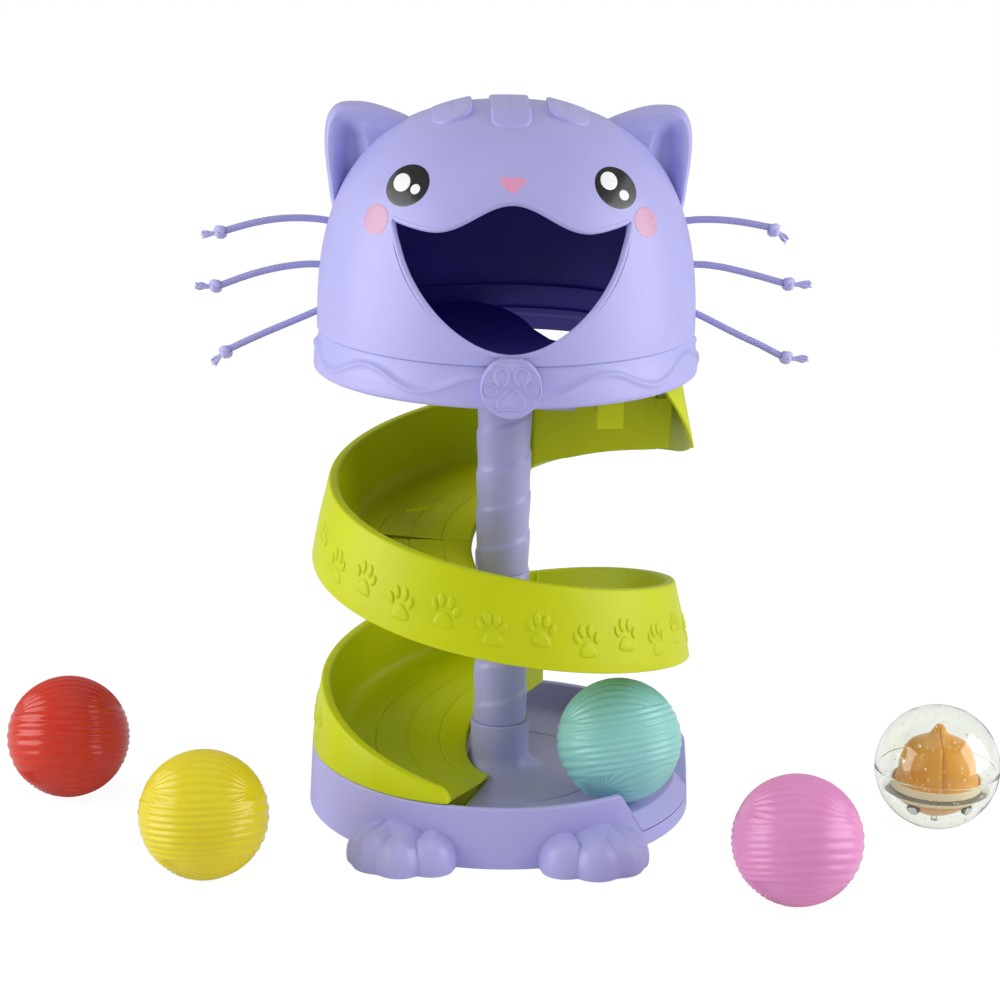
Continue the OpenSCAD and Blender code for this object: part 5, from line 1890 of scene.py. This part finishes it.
        corner = half / 2
        side = np.linspace(half - front, back - corner, 30)[1:-1]
        loop = np.concatenate([
            arc(0, half - front, half, 180, 33), np.stack([0 * side + half, side], 1),
            arc(half - corner, back - corner, corner, 0, 9), arc(corner - half, back - corner, corner, 90, 9),
            np.stack([0 * side - half, side[::-1]], 1)])
        core = np.stack([0 * loop[:, 0], np.clip(loop[:, 1], half - front, back - half)], 1)
        rings = []
        for inset, share in ((0.0, -0.3), (0.05, 0.45), (0.3, 0.78), (0.8, 0.95), (1.6, 1.0), (3.5, 1.0),
                             (6.0, 1.0), (8.5, 1.0), (half - 0.05, 1.0)):
            plan = core + (loop - core) * (1 - inset / half) + [x, 0]
            ring = FORM.top(plan, 0.0)
            ring[:, 2] += lift(plan) * share
            rings.append(ring)
        faces = grid_faces(len(rings), len(loop), close_cols=True) + [list(range(len(loop)))[::-1]]
        return np.concatenate(rings), faces

    def stripes(self) -> list[Mesh]:
        """The three brow stripes: the middle one with a level top and a sloped front, the others leaning out."""
        def level(plan: Points) -> Points:
            """Height of the middle stripe.

            Args:
                plan: x and y of each point.

            Returns:
                Its height over the dome.
            """
            ridge = np.stack([0 * plan[:, 0], plan[:, 1]], 1)
            top = np.interp(plan[:, 1], (-51.2, -38.0, -35.5, -5.0, 20.0, 34.0),
                            (391.2, 398.0, 398.8, 400.5, 400.2, 398.0))
            return top - FORM.top(ridge, 0.0)[:, 2]

        def leaning(plan: Points) -> Points:
            """Height of a side stripe, which thins out sideways."""
            flat = 1.0 + 0.8 * np.clip(-plan[:, 1] / 36.7, 0, 1)
            return 0.35 + 1.9 * flat * np.clip((41.7 - np.abs(plan[:, 0])) / self.stripe_w, 0, 1)

        return [self.stripe(0.0, 51.2, 34.0, level), self.stripe(31.0, 36.7, 22.0, leaning),
                self.stripe(-31.0, 36.7, 22.0, leaning)]

    def ear(self, side: int) -> Mesh:
        """Ear with a rolled edge and a soft hollow in its front.

        Args:
            side: -1 for the left ear, 1 for the right one.

        Returns:
            The points and the faces.
        """
        shares = np.array(self.ear_shares)
        anchors = np.stack([shares[:, 0] * self.ear_reach, shares[:, 1] * self.ear_top], 1)
        loop = smooth_line(np.concatenate([anchors, anchors[:1]]), 1.4)[:-1]
        centre = np.array([72.0, 84.0])
        middle, half = (self.ear_front + self.ear_back) / 2, (self.ear_back - self.ear_front) / 2
        back = [(1 - 0.17 * (1 - math.cos(t) ** 0.8), middle + half * math.sin(t))
                for t in np.radians(np.linspace(90, 0, 9))]
        front = [(1 - 0.1 * (1 - math.cos(t) ** 0.8), middle - half * math.sin(t))
                 for t in np.radians(np.linspace(0, 90, 9)[1:])]
        outlines = [(0.0, self.ear_back), (0.3, self.ear_back), (0.6, self.ear_back), *back, *front]
        points = [np.column_stack([centre + (loop - centre) * max(s, 1e-4), np.full(len(loop), y)])
                  for s, y in outlines]
        for s in np.linspace(0.885, 0.0, 34):
            places = centre + (loop - centre) * max(s, 1e-4)
            points.append(np.column_stack([places, self.ear_front + self.hollow(places)]))
        flat = np.concatenate(points)
        space = np.stack([flat[:, 0] * side, flat[:, 2], flat[:, 1] + FORM.seam_z], 1)
        return space, grid_faces(len(points), len(loop), close_cols=True)

    def hollow(self, places: Points) -> Points:
        """Depth of the ear's front below its rolled edge.

        Args:
            places: x and height above the dome's foot.

        Returns:
            The depth at each place.
        """
        x, up = places[:, 0], places[:, 1]
        outer = smooth((95.0 - x) / 9.0)
        over = smooth((116.0 - up - 0.004 * (x - 84) ** 2 * np.sign(x - 84)) / 14.0)
        inner = smooth((x - (70.0 + 0.2 * (up - 92))) / 15.0)
        valley = 2.2 * smooth((112.5 - up + 0.32 * (x - 82)) / 5.0) * smooth((x - 48) / 10)
        return np.maximum(self.ear_hollow * outer * over * inner, valley * smooth((94.5 - x) / 5.0))

    def build_ears(self) -> None:
        """Makes both ears, trimmed where they meet the dome."""
        core = FORM.outline(-1.5, 48)
        core[0, 1] -= 5
        cutter, faces = lathe(lambda angle: np.concatenate([[(0.0, FORM.seam_z - 5)], core]), 160,
                              closed=False)
        for side, name in ((-1, "ear_left"), (1, "ear_right")):
            ear = add_piece(name + "_moulding", on_head(self.ear(side)), Slot.LAVENDER, replaces=[name],
                            crease=50)
            work = bmesh.new()
            mesh = bpy.data.meshes.new("core")
            mesh.from_pydata(cutter.tolist(), [], faces)
            work.from_mesh(mesh)
            bmesh.ops.remove_doubles(work, verts=work.verts, dist=1e-4)
            core_points = np.array([v.co[:] for v in work.verts])
            core_faces = [[v.index for v in f.verts] for f in work.faces]
            work.free()
            carve(ear, [(core_points, core_faces)], crease=50)

    def print_patch(self, outline: Points, level: float) -> tuple[Points, list[list[int]], Points]:
        """Thin ink film on the front of the dome.

        Args:
            outline: x and height above the dome's foot.
            level: thickness of the film.

        Returns:
            The points, the faces and each point's place within the mark.
        """
        centre = outline.mean(0)
        rings, marks = [], []
        size = np.abs(outline - centre).max()
        for scale, rise in ((1.0, -0.06), (0.995, level * 0.7), (0.97, level), (0.8, level), (0.6, level),
                            (0.4, level), (0.2, level), (0.0, level)):
            places = centre + (outline - centre) * max(scale, 1e-4)
            rings.append(FORM.front(places, rise))
            marks.append((places - centre) / size * [-math.copysign(1.0, centre[0]), 1.0])
        return np.concatenate(rings), grid_faces(len(rings), len(outline), close_cols=True), np.concatenate(marks)

    @staticmethod
    def ellipse(x: float, z: float, length: float, width: float, tilt: float) -> Points:
        """Outline of an oval mark.

        Args:
            x: place across.
            z: height above the dome's foot.
            length: long axis.
            width: short axis.
            tilt: lean of the long axis in degrees.

        Returns:
            The outline.
        """
        t = np.linspace(0, 2 * math.pi, 72, endpoint=False)
        a = math.radians(tilt)
        u, v = length / 2 * np.cos(t), width / 2 * np.sin(t)
        return np.stack([x + u * math.cos(a) - v * math.sin(a), z + u * math.sin(a) + v * math.cos(a)], 1)

    def add_print(self, name: str, outlines: Sequence[Points], film: float, slot: Slot, node: str) -> None:
        """Adds printed marks of one ink.

        Args:
            name: the piece's name.
            outlines: outline of each mark.
            film: thickness of the ink.
            slot: the ink.
            node: the CAD node that they stand for.
        """
        patches = [self.print_patch(outline, film) for outline in outlines]
        points, faces = joined([(p, f) for p, f, _ in patches])
        add_piece(name, on_head((points, faces)), slot, replaces=[node],
                  marks=np.concatenate([m for _, _, m in patches]), crease=60)

    def build_face(self) -> None:
        """Prints the eyes, their highlights, the nose and the cheeks."""
        eyes = [self.ellipse(s * 53.8, 86.9, 25.0, 17.0, -s * 36) for s in (-1, 1)]
        cheeks = [self.ellipse(s * 70.2, 68.8, 16.2, 11.5, -s * 61) for s in (-1, 1)]
        lights = [(-56.8, 88.1, 9.8, 7.4, 42), (-49.9, 85.8, 5.6, 4.2, 42), (50.1, 90.6, 9.8, 7.8, 145),
                  (58.2, 83.2, 5.8, 4.4, 140)]
        nose = rounded_path([(-6.6, 93.9, 1.3), (6.6, 93.9, 1.3), (6.3, 91.0, 2.0), (1.4, 86.7, 1.4),
                             (-1.4, 86.7, 1.4), (-6.3, 91.0, 2.0)], 6)
        for name, outlines, film, slot, node in (
                ("eyes_black_print", eyes, self.film, Slot.BLACK_INK, "eyes_dark"),
                ("eyes_white_print", [self.ellipse(*mark) for mark in lights], self.top_film, Slot.WHITE_INK,
                 "eyes_light"),
                ("nose_pink_print", [nose], self.film, Slot.PINK_INK, "nose_print"),
                ("cheeks_pink_print", cheeks, self.film, Slot.CHEEK_INK, "cheek_prints")):
            self.add_print(name, outlines, film, slot, node)

    def build(self) -> None:
        """Makes the whole head above the collar."""
        self.build_dome()
        add_piece("brow_stripes", on_head(joined(self.stripes())), Slot.LAVENDER, crease=70)
        self.build_ears()
        self.build_face()
        LOG.info("head: dome %.0f mm across and %.0f mm high, mouth %.0f mm wide", 2 * FORM.radius,
                 FORM.height, self.mouth_w)


# ---------------------------------------------------------------------------------------------
# Balls
# ---------------------------------------------------------------------------------------------

@dataclass(frozen=True)
class Winding:
    """How the yarn lies on a ball, seen from the front: a belt of level runs between two fans of arcs."""

    roll: float = 0.0
    tilt: float = 5.0
    belt_top: float = 0.4
    belt_low: float = -0.55
    left: tuple[float, float] = (-0.83, 0.4)
    right: tuple[float, float] = (0.75, 0.33)
    low_left: tuple[float, float] = (-0.35, -0.72)
    low_right: tuple[float, float] = (0.72, -0.52)
    pitch: float = 3.7
    wide_pitch: float = 5.8
    shift: float = 0.0


@dataclass
class YarnBall:
    """Hollow plastic ball moulded as a ball of yarn: a belt of runs over two fans of arcs."""

    name: str
    centre: tuple[float, float, float]
    slot: Slot
    winding: Winding = Winding()
    radius: float = 35.0
    relief: float = 1.5
    rows: int = 260
    cols: int = 400

    def axes(self) -> Points:
        """Right, up and towards the viewer as seen from the front, one row each."""
        near = Vector(PhotoCamera().place) - Vector(self.centre)
        near.normalize()
        right = Vector((0, 0, 1)).cross(near).normalized()
        rise = near.cross(right)
        turn = Matrix.Rotation(math.radians(-self.winding.roll), 3, near)
        return np.array([turn @ right, turn @ rise, near])

    @staticmethod
    def runs(place: Points, pitch: float | Points) -> Points:
        """Rounded ridges with narrow valleys.

        Args:
            place: distance across the runs.
            pitch: distance from run to run.

        Returns:
            Height from nought to one.
        """
        share = place / pitch
        return (0.5 - 0.5 * np.cos(2 * math.pi * share)) ** 0.8

    def fan(self, places: Points, left: tuple[float, float], right: tuple[float, float]) -> Points:
        """Arcs that all run from one point of the ball to another.

        Args:
            places: directions from the centre, in the front view's axes.
            left: the arcs' left end as seen from the front.
            right: their right end.

        Returns:
            Height from nought to one, fading out at the ends.
        """
        ends = [unit(np.array([x, z, math.sqrt(max(0.02, 1 - x * x - z * z))])) for x, z in (left, right)]
        along = unit(ends[1] - ends[0])
        middle = (ends[0] + ends[1]) / 2
        depth = float(np.linalg.norm(middle))
        out, side = middle / depth, np.cross(along, middle / depth)
        rest = places - middle
        angle = np.arctan2(rest @ side, rest @ out)
        arc = (angle - np.arcsin(np.clip(depth * np.sin(angle), -1, 1))) * self.radius
        near = np.minimum(*(np.linalg.norm(places - e, axis=1) for e in ends))
        return self.runs(arc + 0.4 * np.sin(3 * places[:, 0]), self.winding.wide_pitch) * smooth((near - 0.06) / 0.4)

    def surface(self, places: Points) -> Points:
        """Height of the yarn relief on directions from the centre.

        Args:
            places: unit vectors in the front view's axes.

        Returns:
            The height from nought to one.
        """
        w = self.winding
        tilt = math.radians(w.tilt)
        belt_axis = np.array([0.0, math.cos(tilt), math.sin(tilt)])
        across = places @ belt_axis
        turn = np.arctan2(places[:, 0], places[:, 2])
        place = np.arcsin(np.clip(across, -1, 1)) * self.radius + 0.5 * np.sin(2.3 * turn + w.shift)
        blend = smooth(0.5 + 0.9 * np.sin(1.5 * turn + w.shift))
        belt = blend * self.runs(place, w.pitch) + (1 - blend) * self.runs(place + 0.6, w.wide_pitch)
        calm = 0.72 + 0.28 * np.sin(place / 7.0 + w.shift) * np.cos(turn)
        high = w.belt_top + 0.02 * np.sin(3 * turn + w.shift)
        low = w.belt_low + 0.03 * np.sin(2 * turn + w.shift)
        over = smooth((high - across) / 0.035) * smooth((across - low) / 0.035)
        caps = np.where(across > 0, self.fan(places, w.left, w.right),
                        self.fan(places, w.low_left, w.low_right))
        return over * (0.45 + 0.55 * belt * calm) + (1 - over) * (0.2 + 0.55 * caps ** 0.6)

    def build(self) -> None:
        """Makes the ball."""
        lat = np.radians(np.linspace(-90, 90, self.rows))
        lon = np.linspace(0, 2 * math.pi, self.cols, endpoint=False)
        places = np.stack([np.cos(lat)[:, None] * np.cos(lon), np.cos(lat)[:, None] * np.sin(lon),
                           np.sin(lat)[:, None] + 0 * lon], -1).reshape(-1, 3)
        height = self.surface(places)
        points = (places * (self.radius - self.relief * (1 - height))[:, None]) @ self.axes() + np.array(self.centre)
        add_piece(self.name + "_yarn", (points, grid_faces(self.rows, self.cols, close_cols=True)), self.slot,
                  self.name, [self.name], crease=180)
        LOG.info("%s: %.0f mm across", self.name, 2 * self.radius)


@dataclass
class FishBall:
    """Clear ball in two halves with a glitter fish inside."""

    centre: tuple[float, float, float] = (246.0, -35.0, 35.0)
    radius: float = 35.0
    wall: float = 2.2
    fish_r: float = 24.0
    fish_tip: float = 25.0
    fish_drop: float = 13.02
    belly: float = 15.47
    band_low: float = 14.98
    band_h: float = 8.5
    band_t: float = 1.4
    web_t: float = 0.5
    body: str = "ball_clear"

    def moved(self, mesh: Mesh) -> Mesh:
        """Moves a mesh from the origin to the ball's centre."""
        return mesh[0] + np.array(self.centre), mesh[1]

    def half(self, up: int) -> Mesh:
        """One half of the clear shell, with the small chamfer of its seam.

        Args:
            up: 1 for the upper half, -1 for the lower one.

        Returns:
            The points and the faces.
        """
        t = np.radians(np.linspace(90, 0.25, 60))
        outer = np.stack([self.radius * np.cos(t), self.radius * np.sin(t)], 1)
        outer[0, 0] = 0.0
        room = self.radius - self.wall
        seam = np.array([(self.radius - 0.12, 0.02), (room, 0.02)])
        inner = np.stack([room * np.cos(t[::-1]), room * np.sin(t[::-1])], 1)
        inner[-1, 0] = 0.0
        profile = np.concatenate([outer, seam, inner])
        profile[:, 1] *= up
        return lathe(lambda angle: profile, 160, closed=False)

    def fish(self) -> Mesh:
        """Onion-shaped body whose upper half is pinched into a crease at the front and back."""
        rise = self.fish_tip + self.fish_drop
        anchors = [(0, -28.5), (3.6, -28.2), (9, -26.4), (14, -23.6), (19, -20), (22.6, -17), (23.9, -14.5),
                   (24, -8), (22, -3.8), (21.2, 2.7), (19, 9.5), (16.2, 13.6), (12, 16), (8.4, 17.6),
                   (5.2, 19.8), (2.9, 23.2), (1.6, 24.7), (0, 25)]
        line = smooth_line(np.array(anchors) + [0, self.fish_drop], 0.7)
        line[0, 0] = line[-1, 0] = 0.0

        def section(angle: float) -> Points:
            """Section of the body, drawn in near the crease.

            Args:
                angle: degrees round the fish.

            Returns:
                Radius and height of each point.
            """
            near = min(abs((angle - 270 + 180) % 360 - 180), abs((angle - 90 + 180) % 360 - 180))
            pinch = 1.7 * math.exp(-(near / 3.2) ** 2)
            share = smooth((line[:, 1] - 1.0) / 8.0) * smooth((rise - 1.0 - line[:, 1]) / 3.0)
            return np.stack([
                np.clip(line[:, 0] - pinch * share, 0, self.fish_r) * np.where(line[:, 0] > 0, 1, 0),
                line[:, 1] - self.fish_drop], 1)

        return lathe(section, 288, closed=False)

    def build(self) -> None:
        """Makes the shell, the fish, its band and its eyes."""
        add_piece("clear_ball_top_shell", self.moved(self.half(1)), Slot.CLEAR, self.body, ["clear_ball_top"],
                  crease=60)
        low = -self.fish_drop - self.belly - 0.1
        pin = rounded_path([(0.0, -34.0, 0), (2.2, -33.6, 0), (1.5, low, 0.8), (0.0, low, 0)], 3,
                           closed=False)
        stem = lathe(lambda angle: pin, 48, closed=False)
        add_piece("clear_ball_bottom_shell", self.moved(joined([self.half(-1), stem])), Slot.CLEAR, self.body,
                  ["clear_ball_bottom"], crease=60)
        add_piece("fish_glitter_body", self.moved(self.fish()), Slot.ORANGE, self.body, ["fish_body"],
                  crease=60)
        inner = self.fish_r + 0.12
        outer_r = math.sqrt((self.radius - self.wall) ** 2 - (self.band_low - 3) ** 2) - 0.4
        mid = self.band_h / 2
        face, half = inner + self.band_t, self.web_t / 2
        band = rounded_path([(inner, 0, 0.3), (face, 0, 0.5), (face, mid - half, 0.1),
                             (outer_r, mid - half, 0.1),
                             (outer_r, mid + half, 0.1), (face, mid + half, 0.1), (face, self.band_h, 0.5),
                             (inner, self.band_h, 0.3)], 3)
        band[:, 1] -= self.band_low
        add_piece("fish_cream_band", self.moved(lathe(lambda angle: band, 144, closed=True)), Slot.CREAM,
                  self.body, ["fish_band"], crease=50, second=(Slot.CLEAR, lambda centres: np.hypot(
                      centres[:, 0] - self.centre[0], centres[:, 1] - self.centre[1]) > face + 0.3))
        eyes = []
        for side in (-1, 1):
            a = math.radians(side * 41 - 90)
            out = unit(np.array([math.cos(a), math.sin(a), -0.22]))
            middle = np.array([math.cos(a) * 22.6, math.sin(a) * 22.6, -18.6])
            aside = unit(np.cross([0.0, 0.0, 1.0], out))
            rise = np.cross(out, aside)
            rings = [middle + out * h + (np.cos(t) * r * 3.9) * aside + (np.sin(t) * r * 2.9) * rise
                     for r, h in ((1.0, -1.2), (0.98, 0.4), (0.85, 1.1), (0.6, 1.5), (0.3, 1.7), (1e-4, 1.75))
                     for t in (np.linspace(0, 2 * math.pi, 28, endpoint=False)[:, None],)]
            eyes.append((np.concatenate(rings), grid_faces(6, 28, close_cols=True)))
        rims = joined(eyes)
        middles = np.array([rims[0][:168].mean(0), rims[0][168:].mean(0)]) + np.array(self.centre)

        def outline(centres: Points) -> Points:
            """Faces at the edge of an eye."""
            return np.min([np.hypot(centres[:, 0] - m[0], (centres[:, 2] - m[2]) * 1.3) for m in middles], 0) > 2.3

        add_piece("fish_round_eyes", self.moved(rims), Slot.STEEL, self.body, ["fish_eyes"], crease=50,
                  second=(Slot.BLACK_INK, outline))
        LOG.info("fish ball: %.0f mm across, fish %.0f mm tall", 2 * self.radius,
                 self.fish_tip + self.fish_drop + self.belly)


BALLS = (
    YarnBall("ball_red", (-246.0, -9.0, 35.0), Slot.RED,
             Winding(0.0, 3.0, 0.47, -0.5, (-0.84, 0.4), (0.84, 0.38))),
    YarnBall("ball_yellow", (-156.0, -122.0, 35.0), Slot.YELLOW, Winding(-1.0, 8.0, 0.33, -0.62, shift=2.1)),
    YarnBall("ball_pink", (156.0, -144.0, 35.0), Slot.PINK, Winding(
        -4.0, 3.0, 0.36, -0.62, (-0.8, 0.47), (0.82, 0.33), (-0.3, -0.72), (0.6, -0.64), shift=3.6)),
    YarnBall("ball_teal", (66.287, -49.951, 53.3), Slot.TEAL, Winding(-12.0, 3.0, 0.5, -0.5, shift=1.0)),
)


def main() -> None:
    """Builds the scene: camera and cords first, then the studio and every sub-assembly."""
    logging.basicConfig(level=logging.INFO, format="%(message)s")
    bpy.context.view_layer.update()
    PhotoCamera().build()
    for whisker in WHISKERS:
        whisker.build()
    Studio().build()
    for part in (BaseTray(), Post(), SpiralRamp(), Collar(), CatHead(), *BALLS, FishBall()):
        part.build()


if __name__ == "__main__":
    main()
